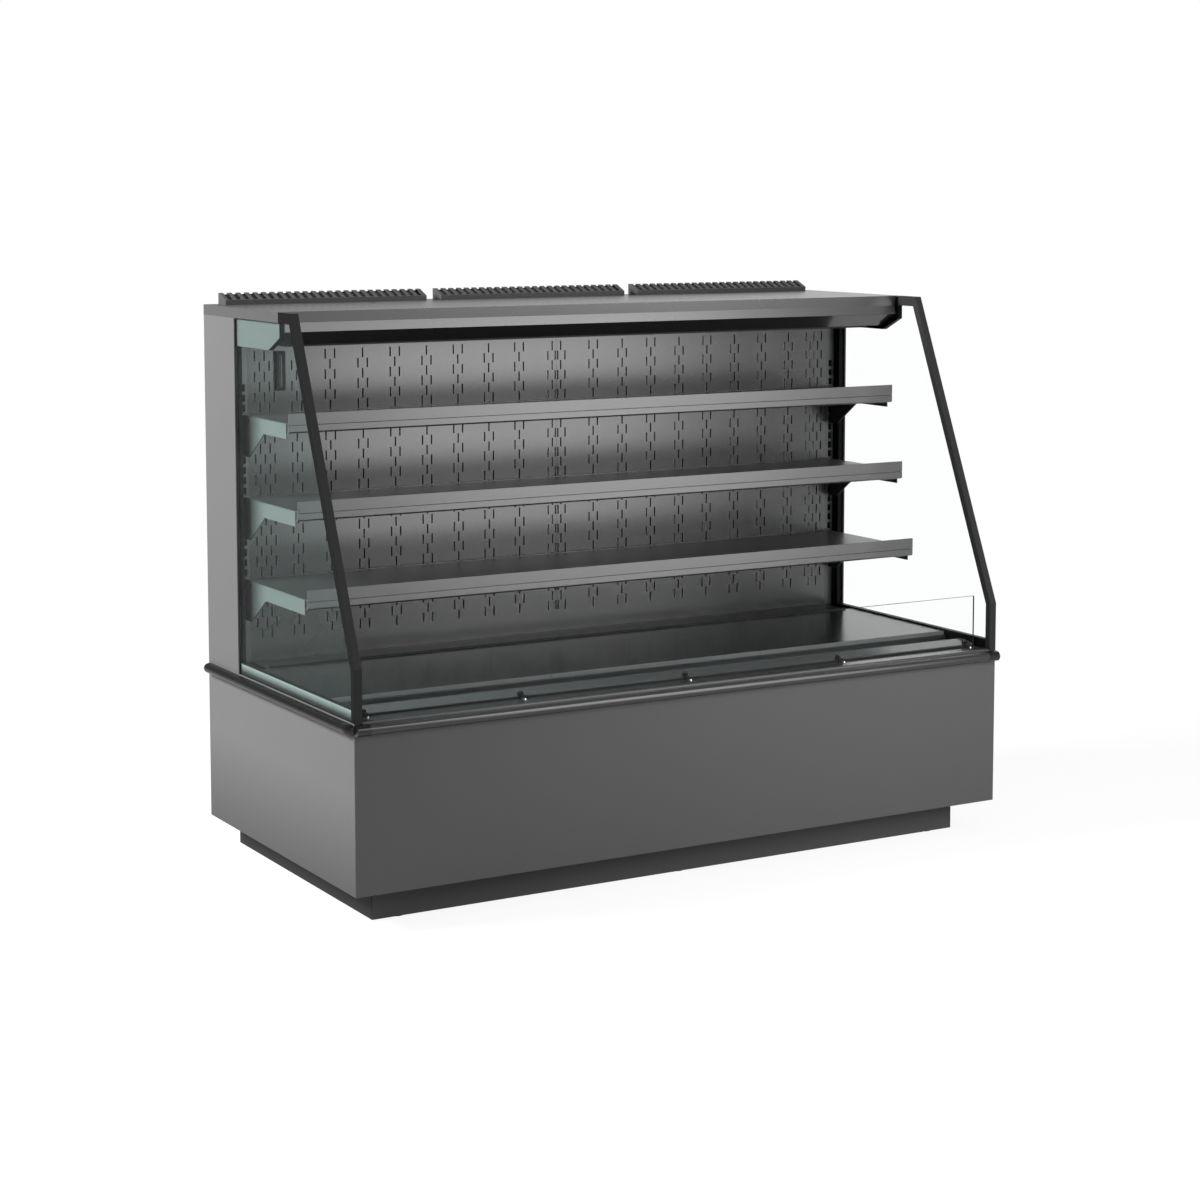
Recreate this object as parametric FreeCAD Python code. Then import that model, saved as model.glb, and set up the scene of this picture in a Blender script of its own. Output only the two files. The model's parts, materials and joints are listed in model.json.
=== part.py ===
import FreeCAD, Part
import math
import os

# Refrigerated display case, open fronted, in millimetres.
# The origin is on the floor under the middle of the case. -Y is the shopper's side, +X is to the
# right as the shopper sees it, and +Z is up.

Vector = FreeCAD.Vector
axis_x = Vector(1, 0, 0)
axis_y = Vector(0, 1, 0)
axis_z = Vector(0, 0, 1)
full_turn = 360.0
quarter_turn = 90.0

# Whole case
case_width = 1875.0
body_depth = 907.0
cabinet_height = 1425.0
fit_gap = 0.3
overrun = 5.0
sheet = 2.0

# Bumper rail round the base
bumper_reach = 22.0
bumper_height = 26.0
bumper_drop = 2.0
bumper_cap_length = 34.0
bumper_cap_skin = 0.8

# Base cabinet
base_height = 495.0
side_thickness = 20.0
front_panel_depth = 20.0
kick_height = 86.0
kick_setback_front = 82.0
kick_setback_side = 78.0
kick_setback_back = 4.0
kick_thickness = 3.0
kick_floor_gap = 2.0
frame_tube = 40.0
frame_wall = 2.5
foot_pad_radius = 19.0
foot_pad_height = 10.0
foot_stud_radius = 6.0
foot_nut_radius = 11.0
foot_nut_height = 10.0
foot_inset = 70.0
louvre_width = 380.0
louvre_height = 7.0
louvre_pitch = 16.0
louvre_rows = 9
louvre_control_gap = 265.0

# Insulated tub under the deck
tub_front = 24.0
tub_wall = 30.0
tub_rim_drop = 15.0
tub_height = 150.0
tub_back_wall = 60.0

# Front sill, front glass and its clips
sill_inner_depth = 118.0
sill_inner_rise = 16.0
sill_ledge_rise = 3.5
sill_step_rise = 5.0
sill_nose = 3.0
sill_edge = 4.0
sill_foot_reach = 10.0
groove_depth_from_front = 60.0
groove_deep = 10.0
front_glass_thickness = 6.0
front_glass_height = 146.0
front_glass_end_gap = 27.0
clip_width = 14.0
clip_thickness = 6.0
clip_height = 9.0
clip_chamfer = 1.5
clip_end_gap = 52.0
clip_spread_share = 0.5

# Return air grille between the sill and the deck
return_plate_rise = 1.0
return_slot_width = 16.0
return_slot_bridge = 8.0
return_slot_margin = 9.0

# Deck
deck_rise = 24.0
deck_front = 194.0
deck_column_gap = 83.0
deck_gap = 3.0
deck_lip = 11.7
deck_count = 3
deck_ledge = 14.0
deck_strip_tuck = 5.0

# Rear column and back wall
column_depth = 211.0
wall_setback = 27.0
duct_depth = 35.0
insulation_depth = 60.0
roof_return = 26.0
upright_width = 24.0
upright_wall = 2.0
upright_depth = 34.0
hook_slot_width = 10.0
hook_slot_height = 18.0
hook_slot_pitch = 26.2
hook_slots_above = 3
wall_slot_width = 4.0
wall_slot_length = 25.0
wall_slot_pitch = 52.5
wall_column_pitch = 13.2
wall_group_pitch = 92.0
wall_edge_margin = 46.2
wall_plain_bottom = 59.2
wall_plain_top = 14.0
wall_seam_gap = 0.6

# Shelves
shelf_depths = (397.0, 345.0, 295.0)
shelf_names = ("bottom", "middle", "top")
lowest_shelf_rise = 215.5
shelf_end_gap = 30.0
shelf_sheet = 2.0
shelf_wall_clearance = 1.0
rail_rise = 23.6
rail_drop = 5.0
rail_thickness = 4.0
lip_drop = 25.0
lip_joint = 0.8
lip_return = 14.0
lip_chamfer = 4.0
bracket_thickness = 2.5
bracket_arm_height = 37.0
bracket_gusset_length = 133.0
bracket_foot_height = 104.0
bracket_front_gap = 6.0
hook_length = 10.0
hook_height = 13.0
hook_drop = 6.0
bracket_screw_radius = 3.5
bracket_screw_drop = 12.3

# Canopy
canopy_reach = 276.5
canopy_end_height = 96.0
canopy_nose_height = 62.5
canopy_chamfer_depth = 70.5
canopy_end_inset = 5.0
canopy_end_thickness = 14.0
fascia_setback = 10.5
fascia_crease_depth = 7.0
fascia_crease_drop = 27.5
fascia_height = 50.0
soffit_drop = 85.0
soffit_chamfer = 67.0
outlet_setback = 76.0
outlet_depth = 60.0
outlet_thickness = 10.0
outlet_end_gap = 60.0
outlet_cells = 56
outlet_rows = 3
outlet_bridge = 4.0
lamp_setback = 150.0
lamp_width = 30.0
lamp_height = 14.0
lamp_flange = 6.0
lamp_bulge = 3.0
lamp_end_gap = 110.0

# Vent grilles on the roof
grille_count = 3
grille_end_gap = 36.5
grille_spacing = 43.0
grille_depth = 52.0
grille_back_gap = 11.0
grille_height = 29.0
grille_front_height = 12.0
grille_flat_top = 12.0
grille_wall = 3.0
grille_ribs = 24
grille_rib_width = 9.0
grille_notch = 4.0
vent_hole_margin = 14.0

# Side frames and side glass
post_size = 20.0
post_overhang = 2.0
post_knee_rise = 126.4
post_arm = 77.5
glass_thickness = 4.0
glass_inset = 0.5
glass_edge_gap = 1.0
seal_width = 4.0
channel_height = 28.0

# Cooling pieces in the tub
coil_end_gap = 187.2
coil_front = 260.0
coil_depth = 200.0
coil_height = 100.0
coil_rise = 6.0
coil_fins = 36
coil_fin_thickness = 1.0
coil_tube_radius = 5.0
coil_tube_rows = 2
coil_tube_columns = 4
coil_tube_overhang = 14.0
fan_plate_depth = 540.0
fan_plate_drop = 19.0
fan_end_gap = 367.2
fan_radius = 56.0
fan_tip_gap = 4.0
fan_hub_radius = 20.0
fan_thickness = 24.0
fan_blades = 5
fan_chord_share = 0.62
fan_blade_thickness = 2.5
fan_blade_pitch_deg = 32.0
fan_shaft_radius = 3.0
fan_shaft_gap = 0.05
motor_radius = 24.0
motor_length = 38.0
motor_arms = 3
motor_arm_width = 8.0
motor_arm_reach = 8.0
motor_standoff = 10.0
drain_radius = 14.0
drain_wall = 2.0

# Machine compartment
compressor_end_gap = 517.5
compressor_depth = 560.0
compressor_radius = 82.0
compressor_head_gap = 60.0
compressor_dome_height = 46.0
compressor_foot_size = 190.0
compressor_foot_thickness = 4.0
mount_radius = 14.0
mount_height = 16.0
mount_inset = 20.0
condenser_tray_gap = 420.0
condenser_width = 420.0
condenser_head_gap = 12.0
condenser_depth = 60.0
condenser_front = 130.0
condenser_fins = 30
condenser_tube_rows = 5
condenser_tube_columns = 2
condenser_fan_margin = 13.0
shroud_depth = 30.0
tray_end_gap = 317.5
tray_width = 300.0
tray_depth = 360.0
tray_height = 60.0
tray_front = 330.0
control_end_gap = 222.5
control_width = 180.0
control_head_gap = 30.0
control_depth = 110.0
control_stand = 62.0
switch_length = 22.0
switch_radius = 9.0
switch_cheek = 3.0
switch_pin_radius = 2.0
gland_radius = 11.0
gland_offset = 50.0

# Thermometer on the back wall
thermometer_x_gap = 120.0
thermometer_width = 25.0
thermometer_height = 100.0
thermometer_depth = 9.0
thermometer_drop = 30.0
thermometer_window = 9.0
thermometer_recess = 3.0

# Places worked out from the sizes above
half = case_width / 2
front_y = (bumper_reach - body_depth) / 2
back_y = front_y + body_depth
inner_half = half - side_thickness - fit_gap
column_front = body_depth - column_depth
wall_front = column_front + wall_setback
insulation_front = wall_front + sheet + duct_depth
canopy_front = column_front - canopy_reach
canopy_chamfer_back = canopy_front + canopy_chamfer_depth
deck_back = column_front - deck_column_gap
deck_strip_back = wall_front + deck_strip_tuck

roof_bottom = cabinet_height - roof_return
soffit_z = cabinet_height - soffit_drop
canopy_end_bottom = cabinet_height - canopy_end_height
canopy_end_nose = cabinet_height - canopy_nose_height
thermometer_top = soffit_z - thermometer_drop

bumper_top = base_height - bumper_drop
bumper_bottom = bumper_top - bumper_height
tub_rim = base_height - tub_rim_drop
tub_bottom = tub_rim - tub_height
tub_floor = tub_bottom + tub_wall
sill_inner_top = base_height + sill_inner_rise
sill_ledge_top = base_height + sill_ledge_rise
return_plate_top = base_height + return_plate_rise
deck_top = base_height + deck_rise
fan_plate_top = deck_top - fan_plate_drop
post_knee_z = base_height + post_knee_rise
post_lean = (canopy_front - post_arm + post_overhang) / (cabinet_height - post_knee_z)

# The shelves share the height over the deck, each on a whole number of hook slots.
lowest_shelf = deck_top + lowest_shelf_rise
slots_per_shelf = round((soffit_z - lowest_shelf) / len(shelf_depths) / hook_slot_pitch)
shelf_pitch = hook_slot_pitch * slots_per_shelf
shelf_levels = [lowest_shelf + shelf_pitch * i for i in range(len(shelf_depths))]
slots_below_hook = int((bracket_foot_height - hook_drop - hook_height) / hook_slot_pitch)
shelf_wall_gap = thermometer_depth + shelf_wall_clearance

grille_length = (case_width - 2 * grille_end_gap + grille_spacing) / grille_count - grille_spacing
grille_pitch = grille_length + grille_spacing
coil_length = 2 * (inner_half - tub_wall - coil_end_gap)
fan_spread = inner_half - tub_wall - fan_end_gap

machine_floor_top = kick_height + sheet
compressor_x = compressor_end_gap - half
compressor_room = tub_bottom - machine_floor_top - mount_height
compressor_body_height = compressor_room - compressor_dome_height - compressor_head_gap
tray_x = half - tray_end_gap
condenser_x = tray_x - condenser_tray_gap
condenser_height = tub_bottom - frame_tube - machine_floor_top - condenser_head_gap
condenser_fan_radius = condenser_height / 2 - condenser_fan_margin
control_x = control_end_gap - half
control_z = machine_floor_top + control_stand
control_height = tub_bottom - control_z - control_head_gap
switch_z = control_z + control_height / 2
louvre_x = control_x + louvre_control_gap


def behind(distance):
    return front_y + distance


def block(x_low, x_high, y_low, y_high, z_low, z_high):
    corner = Vector(x_low, y_low, z_low)
    return Part.makeBox(x_high - x_low, y_high - y_low, z_high - z_low, corner)


def polygon(points):
    return Part.Face(Part.makePolygon(points + points[:1]))


def bar_along_x(outline, x_low, x_high):
    face = polygon([Vector(x_low, behind(d), z) for d, z in outline])
    return face.extrude(Vector(x_high - x_low, 0, 0))


def rod(radius, start, axis, length):
    return Part.makeCylinder(radius, length, start, axis)


def mirrored(shape):
    return shape.mirror(Vector(0, 0, 0), axis_x)


def rectangle_xz(x_low, x_high, z_low, z_high, y):
    corners = [(x_low, z_low), (x_high, z_low), (x_high, z_high), (x_low, z_high)]
    points = [Vector(x, y, z) for x, z in corners]
    return Part.makePolygon(points + points[:1])


def rectangle_xy(x_low, x_high, y_low, y_high, z):
    corners = [(x_low, y_low), (x_high, y_low), (x_high, y_high), (x_low, y_high)]
    points = [Vector(x, y, z) for x, y in corners]
    return Part.makePolygon(points + points[:1])


def holed_face(outline, holes):
    return Part.Face([outline] + [hole.reversed() for hole in holes])


def save(name, *solids):
    shape = solids[0] if len(solids) == 1 else Part.makeCompound(list(solids))
    shape.exportStep("parts/" + name + ".step")
    print(name, len(shape.Solids), "solids", round(shape.Volume / 1000.0, 1), "cm3")


def base_frame():
    x_out = half - kick_setback_side - kick_thickness
    y_low = behind(kick_setback_front + kick_thickness)
    y_high = back_y - kick_setback_back
    z_low = kick_height - frame_tube
    rails = [(y_low, y_low + frame_tube), (y_high - frame_tube, y_high)]
    cross = [-x_out, -frame_tube / 2, x_out - frame_tube]
    solid = None
    for y0, y1 in rails:
        tube = block(-x_out, x_out, y0, y1, z_low, kick_height)
        solid = tube if solid is None else solid.fuse(tube)
    for x0 in cross:
        solid = solid.fuse(block(x0, x0 + frame_tube, y_low, y_high, z_low, kick_height))
        solid = solid.fuse(
            block(x0, x0 + frame_tube, y_low, y_high, tub_bottom - frame_tube, tub_bottom)
        )
        for y0, y1 in rails:
            solid = solid.fuse(block(x0, x0 + frame_tube, y0, y1, z_low, tub_bottom))
    for y0, y1 in rails:
        bore = (y0 + frame_wall, y1 - frame_wall, z_low + frame_wall, kick_height - frame_wall)
        solid = solid.cut(block(-x_out - overrun, x_out + overrun, *bore))
    save("base_frame", solid.removeSplitter())
    return x_out, rails, cross


def levelling_feet(x_out, rails):
    feet = []
    stud_top = kick_height - frame_tube
    for x in (-x_out + foot_inset, 0.0, x_out - foot_inset):
        for y0, y1 in rails:
            centre = Vector(x, (y0 + y1) / 2, 0)
            pad = Part.makeCone(foot_pad_radius, foot_nut_radius, foot_pad_height, centre, axis_z)
            stud = rod(foot_stud_radius, centre, axis_z, stud_top)
            nut_base = centre + axis_z * (stud_top - foot_nut_height)
            nut = rod(foot_nut_radius, nut_base, axis_z, foot_nut_height)
            feet.append(pad.fuse(stud).fuse(nut))
    save("levelling_feet", *feet)


def kick_plates():
    x_out = half - kick_setback_side
    y_front = behind(kick_setback_front)
    y_side = y_front + kick_thickness
    y_back = back_y - kick_setback_back
    front = block(-x_out, x_out, y_front, y_side, kick_floor_gap, kick_height)
    left = block(-x_out, -x_out + kick_thickness, y_side, y_back, kick_floor_gap, kick_height)
    save("kick_plates", front, left, mirrored(left))


def machine_floor(rails, cross):
    z_low = kick_height
    plate = block(
        -inner_half, inner_half, behind(front_panel_depth), back_y - sheet - fit_gap, z_low, z_low + sheet
    )
    for x0 in cross:
        for y0, y1 in rails:
            plate = plate.cut(
                block(
                    x0 - fit_gap,
                    x0 + frame_tube + fit_gap,
                    y0 - fit_gap,
                    y1 + fit_gap,
                    z_low - overrun,
                    z_low + overrun,
                )
            )
    save("machine_floor", plate)


def base_sides():
    # Folded sheet trays, open towards the inside of the base.
    y_low = behind(sheet + fit_gap)
    x_low = half - side_thickness
    outer = block(x_low, half, y_low, back_y, kick_height, base_height)
    hollow = block(
        x_low - overrun,
        half - sheet,
        y_low + sheet,
        back_y - sheet,
        kick_height + sheet,
        base_height - sheet,
    )
    right = outer.cut(hollow)
    save("base_side_right", right)
    save("base_side_left", mirrored(right))


def front_panel():
    z_top = bumper_bottom - fit_gap
    skin = block(-half, half, front_y, front_y + sheet, kick_height, z_top)
    rim = block(
        -inner_half, inner_half, front_y + sheet, behind(front_panel_depth) - fit_gap, kick_height, z_top
    )
    hollow = block(
        -inner_half + sheet,
        inner_half - sheet,
        front_y + sheet,
        back_y,
        kick_height + sheet,
        z_top - sheet,
    )
    save("front_panel", skin.fuse(rim.cut(hollow)).removeSplitter())


def rear_service_panel():
    y = back_y - sheet
    z_low = kick_height + sheet
    outline = rectangle_xz(-inner_half, inner_half, z_low, base_height - fit_gap, y)
    holes = []
    for side in (-1, 1):
        x_mid = side * louvre_x
        for row in range(louvre_rows):
            z = switch_z + (row - (louvre_rows - 1) / 2) * louvre_pitch
            holes.append(
                rectangle_xz(
                    x_mid - louvre_width / 2,
                    x_mid + louvre_width / 2,
                    z - louvre_height / 2,
                    z + louvre_height / 2,
                    y,
                )
            )
    switch_half = switch_length / 2 + switch_cheek + fit_gap
    holes.append(
        rectangle_xz(
            control_x - switch_half,
            control_x + switch_half,
            switch_z - switch_radius - switch_cheek,
            switch_z + switch_radius + switch_cheek,
            y,
        )
    )
    plate = holed_face(outline, holes).extrude(Vector(0, sheet, 0))
    gland_start = Vector(control_x + gland_offset, y - overrun, switch_z)
    plate = plate.cut(rod(gland_radius + fit_gap, gland_start, axis_y, sheet + 2 * overrun))
    save("rear_service_panel", plate)


def bumper_profile(x, y, turn, skin=0.0):
    # D-shaped section: flat against the cabinet, an arc at its nose.
    reach = bumper_reach - (0.0 if skin else bumper_cap_skin)
    z_low = bumper_bottom + (0.0 if skin else bumper_cap_skin)
    z_high = bumper_top - (0.0 if skin else bumper_cap_skin)
    radius = (z_high - z_low) / 2
    flat = reach - radius
    low = Vector(0, 0, z_low)
    low_nose = Vector(flat, 0, z_low)
    nose = Vector(reach, 0, z_low + radius)
    high_nose = Vector(flat, 0, z_high)
    high = Vector(0, 0, z_high)
    edges = [
        Part.LineSegment(low, low_nose).toShape(),
        Part.Arc(low_nose, nose, high_nose).toShape(),
        Part.LineSegment(high_nose, high).toShape(),
        Part.LineSegment(high, low).toShape(),
    ]
    face = Part.Face(Part.Wire(edges))
    face.rotate(Vector(0, 0, 0), axis_z, turn)
    face.translate(Vector(x, y, 0))
    return face


def bumpers():
    facing_right = 0.0
    facing_front = -quarter_turn
    y_cap = behind(bumper_cap_length)
    x_cap = half - bumper_cap_length
    y_round = back_y - bumper_reach
    y_nose = front_y + bumper_reach
    front = bumper_profile(-x_cap + fit_gap, front_y, facing_front).extrude(
        Vector(2 * (x_cap - fit_gap), 0, 0)
    )
    right = bumper_profile(half, y_cap + fit_gap, facing_right).extrude(
        Vector(0, y_round - y_cap - fit_gap, 0)
    )
    rear_round = bumper_profile(half, y_round, facing_right).revolve(
        Vector(half, y_round, 0), axis_z, quarter_turn
    )
    right = right.fuse(rear_round)
    # The side rails end in a round nose beside the corner, the front rail ends flat.
    side_cap = bumper_profile(half, y_nose, facing_right, bumper_cap_skin).extrude(
        Vector(0, y_cap - y_nose, 0)
    )
    side_nose = bumper_profile(half, y_nose, facing_right, bumper_cap_skin).revolve(
        Vector(half, y_nose, 0), axis_z, -quarter_turn
    )
    side_cap = side_cap.fuse(side_nose).removeSplitter()
    front_cap = bumper_profile(x_cap, front_y, facing_front, bumper_cap_skin).extrude(
        Vector(half - x_cap, 0, 0)
    )
    save("bumper_front", front)
    save("bumper_right", right)
    save("bumper_left", mirrored(right))
    save("bumper_corners", mirrored(side_cap), side_cap, mirrored(front_cap), front_cap)


def insulated_tub():
    y_back = behind(insulation_front + insulation_depth)
    outer = block(-inner_half, inner_half, behind(tub_front), y_back, tub_bottom, tub_rim)
    hollow = block(
        -inner_half + tub_wall,
        inner_half - tub_wall,
        behind(tub_front + tub_wall),
        y_back - tub_back_wall,
        tub_floor,
        tub_rim + overrun,
    )
    drain_y = behind(tray_front)
    drain_start = Vector(tray_x, drain_y, tub_bottom - overrun)
    drain = rod(drain_radius, drain_start, axis_z, tub_wall + 2 * overrun)
    save("insulated_tub", outer.cut(hollow).cut(drain))
    wall = drain_radius - fit_gap
    pipe_low = machine_floor_top + tray_height / 2
    start = Vector(tray_x, drain_y, pipe_low)
    pipe = rod(wall, start, axis_z, tub_floor - pipe_low)
    pipe = pipe.cut(rod(wall - drain_wall, start, axis_z, tub_floor - pipe_low))
    save("drain_pipe", pipe)


def front_sill():
    groove_half = front_glass_thickness / 2 + fit_gap
    groove_low = groove_depth_from_front - groove_half
    groove_high = groove_depth_from_front + groove_half
    groove_floor = sill_ledge_top - groove_deep
    foot_z = return_plate_top - sheet
    outline = [
        (0, bumper_bottom),
        (0, sill_ledge_top - sill_nose),
        (sill_nose, sill_ledge_top),
        (groove_low, sill_ledge_top),
        (groove_low, groove_floor),
        (groove_high, groove_floor),
        (groove_high, sill_ledge_top + sill_step_rise),
        (sill_inner_depth - sill_edge, sill_inner_top),
        (sill_inner_depth, sill_inner_top - sill_edge),
        (sill_inner_depth, foot_z),
        (sill_inner_depth + sill_foot_reach, foot_z),
        (sill_inner_depth + sill_foot_reach, foot_z - sheet),
        (sill_inner_depth, foot_z - sheet),
        (sill_inner_depth, tub_rim),
        (front_panel_depth, tub_rim),
        (front_panel_depth, bumper_bottom),
    ]
    save("front_sill", bar_along_x(outline, -inner_half, inner_half))

    foot = groove_floor + fit_gap
    glass_half = half - front_glass_end_gap
    glass_front = behind(groove_depth_from_front) - front_glass_thickness / 2
    glass = block(
        -glass_half,
        glass_half,
        glass_front,
        glass_front + front_glass_thickness,
        foot,
        foot + front_glass_height,
    )
    save("front_glass", glass)

    clips = []
    clip_far = half - clip_end_gap
    clip_near = half * clip_spread_share
    front_clip = (groove_low - clip_thickness, groove_low)
    back_clip = (groove_high, groove_high + clip_thickness)
    for x_mid in (-clip_far, -clip_near, 0.0, clip_near, clip_far):
        span = (x_mid - clip_width / 2, x_mid + clip_width / 2)
        for low, high in (front_clip, back_clip):
            seat = sill_ledge_top + sill_slope(high)
            clip = block(*span, behind(low), behind(high), seat, seat + clip_height)
            edges = [e for e in clip.Edges if e.BoundBox.ZMin > seat + clip_height / 2]
            clips.append(clip.makeChamfer(clip_chamfer, edges))
    save("glass_clips", *clips)


def sill_slope(depth):
    # Height of the sloping inner half of the sill above its front ledge.
    groove_high = groove_depth_from_front + front_glass_thickness / 2 + fit_gap
    if depth < groove_high:
        return 0.0
    run = sill_inner_depth - sill_edge - groove_high
    climb = sill_inner_top - sill_ledge_top - sill_step_rise
    return sill_step_rise + (depth - groove_high) / run * climb


def return_grille():
    low = sill_inner_depth
    step = deck_front - deck_ledge / 2
    ledge_top = deck_top - deck_lip - fit_gap
    plate_low = return_plate_top - sheet
    outline = [
        (low + fit_gap, plate_low),
        (low + fit_gap, return_plate_top),
        (step, return_plate_top),
        (step, ledge_top),
        (deck_front + deck_ledge, ledge_top),
        (deck_front + deck_ledge, ledge_top - sheet),
        (step + sheet, ledge_top - sheet),
        (step + sheet, plate_low),
    ]
    solid = bar_along_x(outline, -inner_half, inner_half)
    pitch = return_slot_width + return_slot_bridge
    count = int((2 * inner_half - 2 * return_slot_margin) / pitch)
    start = -count * pitch / 2 + return_slot_bridge / 2
    y_low = behind(low + return_slot_margin + fit_gap)
    y_high = behind(step - return_slot_margin)
    slots = []
    for i in range(count):
        x0 = start + i * pitch
        slots.append(block(x0, x0 + return_slot_width, y_low, y_high, plate_low - overrun, deck_top))
    save("return_grille", solid.cut(Part.makeCompound(slots)))


def deck():
    low = -inner_half
    step = case_width / deck_count
    names = ("left", "centre", "right")
    lip_bottom = deck_top - deck_lip
    for i, name in enumerate(names):
        x0 = -inner_half + fit_gap if i == 0 else low
        x1 = inner_half - fit_gap if i == deck_count - 1 else -half + (i + 1) * step - fit_gap
        low = x1 + 2 * fit_gap
        outer = block(x0, x1, behind(deck_front), behind(deck_back), lip_bottom, deck_top)
        hollow = block(
            x0 + sheet,
            x1 - sheet,
            behind(deck_front) + sheet,
            behind(deck_back) - sheet,
            lip_bottom - overrun,
            deck_top - sheet,
        )
        save("deck_pan_" + name, outer.cut(hollow))

    strip_front = deck_back + deck_gap
    ledge_top = lip_bottom - fit_gap
    outline = [
        (strip_front, deck_top),
        (deck_strip_back, deck_top),
        (deck_strip_back, tub_rim),
        (deck_strip_back - sheet, tub_rim),
        (deck_strip_back - sheet, deck_top - sheet),
        (strip_front + sheet, deck_top - sheet),
        (strip_front + sheet, ledge_top - sheet),
        (deck_back - deck_ledge, ledge_top - sheet),
        (deck_back - deck_ledge, ledge_top),
        (strip_front, ledge_top),
    ]
    strip_half = half - side_thickness - upright_width - 2 * fit_gap
    save("deck_rear_strip", bar_along_x(outline, -strip_half, strip_half))


def column():
    right = block(half - side_thickness, half, behind(column_front), back_y, base_height, roof_bottom)
    save("column_side_right", right)
    save("column_side_left", mirrored(right))
    core = block(
        -inner_half,
        inner_half,
        behind(insulation_front),
        behind(insulation_front + insulation_depth),
        tub_rim,
        cabinet_height - sheet - fit_gap,
    )
    save("insulated_back", core)
    skin = block(-inner_half, inner_half, back_y - sheet, back_y, base_height, roof_bottom - fit_gap)
    save("back_panel", skin)


def shelf_hook_z(level):
    return level - shelf_sheet - fit_gap - hook_drop - hook_height


def uprights():
    x_high = inner_half
    x_low = x_high - upright_width
    y_low = behind(wall_front)
    tube = block(x_low, x_high, y_low, y_low + upright_depth, tub_rim, soffit_z - fit_gap)
    hollow = block(
        x_low + upright_wall,
        x_high - upright_wall,
        y_low + upright_wall,
        y_low + upright_depth - upright_wall,
        tub_rim - overrun,
        soffit_z,
    )
    right = tube.cut(hollow)
    x_mid = (x_low + x_high) / 2
    first = shelf_hook_z(lowest_shelf) - slots_below_hook * hook_slot_pitch
    top_row = (len(shelf_depths) - 1) * slots_per_shelf + slots_below_hook + hook_slots_above
    slots = []
    for row in range(top_row + 1):
        z = first + row * hook_slot_pitch
        slots.append(
            block(
                x_mid - hook_slot_width / 2,
                x_mid + hook_slot_width / 2,
                y_low - overrun,
                y_low + upright_wall + overrun,
                z,
                z + hook_slot_height,
            )
        )
    right = right.cut(Part.makeCompound(slots))
    save("shelf_uprights", mirrored(right), right)
    return x_low, x_mid


def slot_columns(x_edge):
    # Air slots stand in columns: five by the seam and five by the upright, threes in between.
    columns = [0.0, wall_column_pitch, 2 * wall_column_pitch]
    last = x_edge - wall_edge_margin
    groups = int((last - columns[-1]) / wall_group_pitch)
    first = (last + columns[-1]) / 2 - (groups - 1) / 2 * wall_group_pitch
    for g in range(groups):
        middle = first + g * wall_group_pitch
        columns += [middle + k * wall_column_pitch for k in (-1, 0, 1)]
    columns += [last + k * wall_column_pitch for k in (-2, -1, 0, 1, 2)]
    return columns


def perforated_panels(x_edge):
    y = behind(wall_front)
    x_high = x_edge - fit_gap
    z_low = deck_top
    z_high = soffit_z - fit_gap
    outline = rectangle_xz(wall_seam_gap / 2, x_high, z_low, z_high, y)
    first = z_low + wall_plain_bottom
    rows = int((z_high - wall_plain_top - first - wall_slot_length) / wall_slot_pitch * 2) + 1
    holes = []
    for index, x in enumerate(slot_columns(x_edge)):
        x_mid = max(x, wall_slot_width)
        for row in range(index % 2, rows, 2):
            z = first + row * wall_slot_pitch / 2
            holes.append(
                rectangle_xz(
                    x_mid - wall_slot_width / 2, x_mid + wall_slot_width / 2, z, z + wall_slot_length, y
                )
            )
    right = holed_face(outline, holes).extrude(Vector(0, sheet, 0))
    save("perforated_panel_right", right)
    save("perforated_panel_left", mirrored(right))


def shelves(x_mid):
    lip_half = half - shelf_end_gap
    brackets = []
    for name, level, depth in zip(shelf_names, shelf_levels, shelf_depths):
        lip = wall_front - depth
        under = level - shelf_sheet
        back = wall_front - shelf_wall_gap
        bottom = level - lip_drop
        rail_foot = level - rail_drop
        tray = bar_along_x(
            [
                (back, level),
                (lip + rail_thickness, level),
                (lip + rail_thickness, rail_foot - lip_joint),
                (lip, rail_foot - lip_joint),
                (lip, bottom + lip_chamfer),
                (lip + lip_chamfer, bottom),
                (lip + lip_return, bottom),
                (lip + lip_return, bottom + shelf_sheet),
                (lip + lip_chamfer + shelf_sheet, bottom + shelf_sheet),
                (lip + lip_chamfer + shelf_sheet, under),
                (back, under),
            ],
            -lip_half,
            lip_half,
        )
        rail = block(
            -lip_half,
            lip_half,
            behind(lip),
            behind(lip + rail_thickness) - fit_gap,
            rail_foot,
            level + rail_rise,
        )
        save("shelf_" + name, tray, rail)

        top = under - fit_gap
        front = lip + lip_return + bracket_front_gap
        rear = wall_front - fit_gap
        hook = shelf_hook_z(level)
        plate = bar_along_x(
            [
                (front, top),
                (rear, top),
                (rear, top - bracket_foot_height),
                (rear - bracket_arm_height, top - bracket_foot_height),
                (rear - bracket_gusset_length, top - bracket_arm_height),
                (front, top - bracket_arm_height),
            ],
            x_mid - bracket_thickness / 2,
            x_mid + bracket_thickness / 2,
        )
        low_hook = hook - slots_below_hook * hook_slot_pitch
        for z in (hook, low_hook):
            plate = plate.fuse(
                block(
                    x_mid - bracket_thickness / 2,
                    x_mid + bracket_thickness / 2,
                    behind(rear - overrun),
                    behind(rear + hook_length),
                    z,
                    z + hook_height,
                )
            )
        hole_start = Vector(
            x_mid - overrun, behind(rear - bracket_arm_height), top - bracket_screw_drop
        )
        plate = plate.cut(rod(bracket_screw_radius, hole_start, axis_x, 2 * overrun)).removeSplitter()
        brackets += [mirrored(plate), plate]
    save("shelf_brackets", *brackets)


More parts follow.
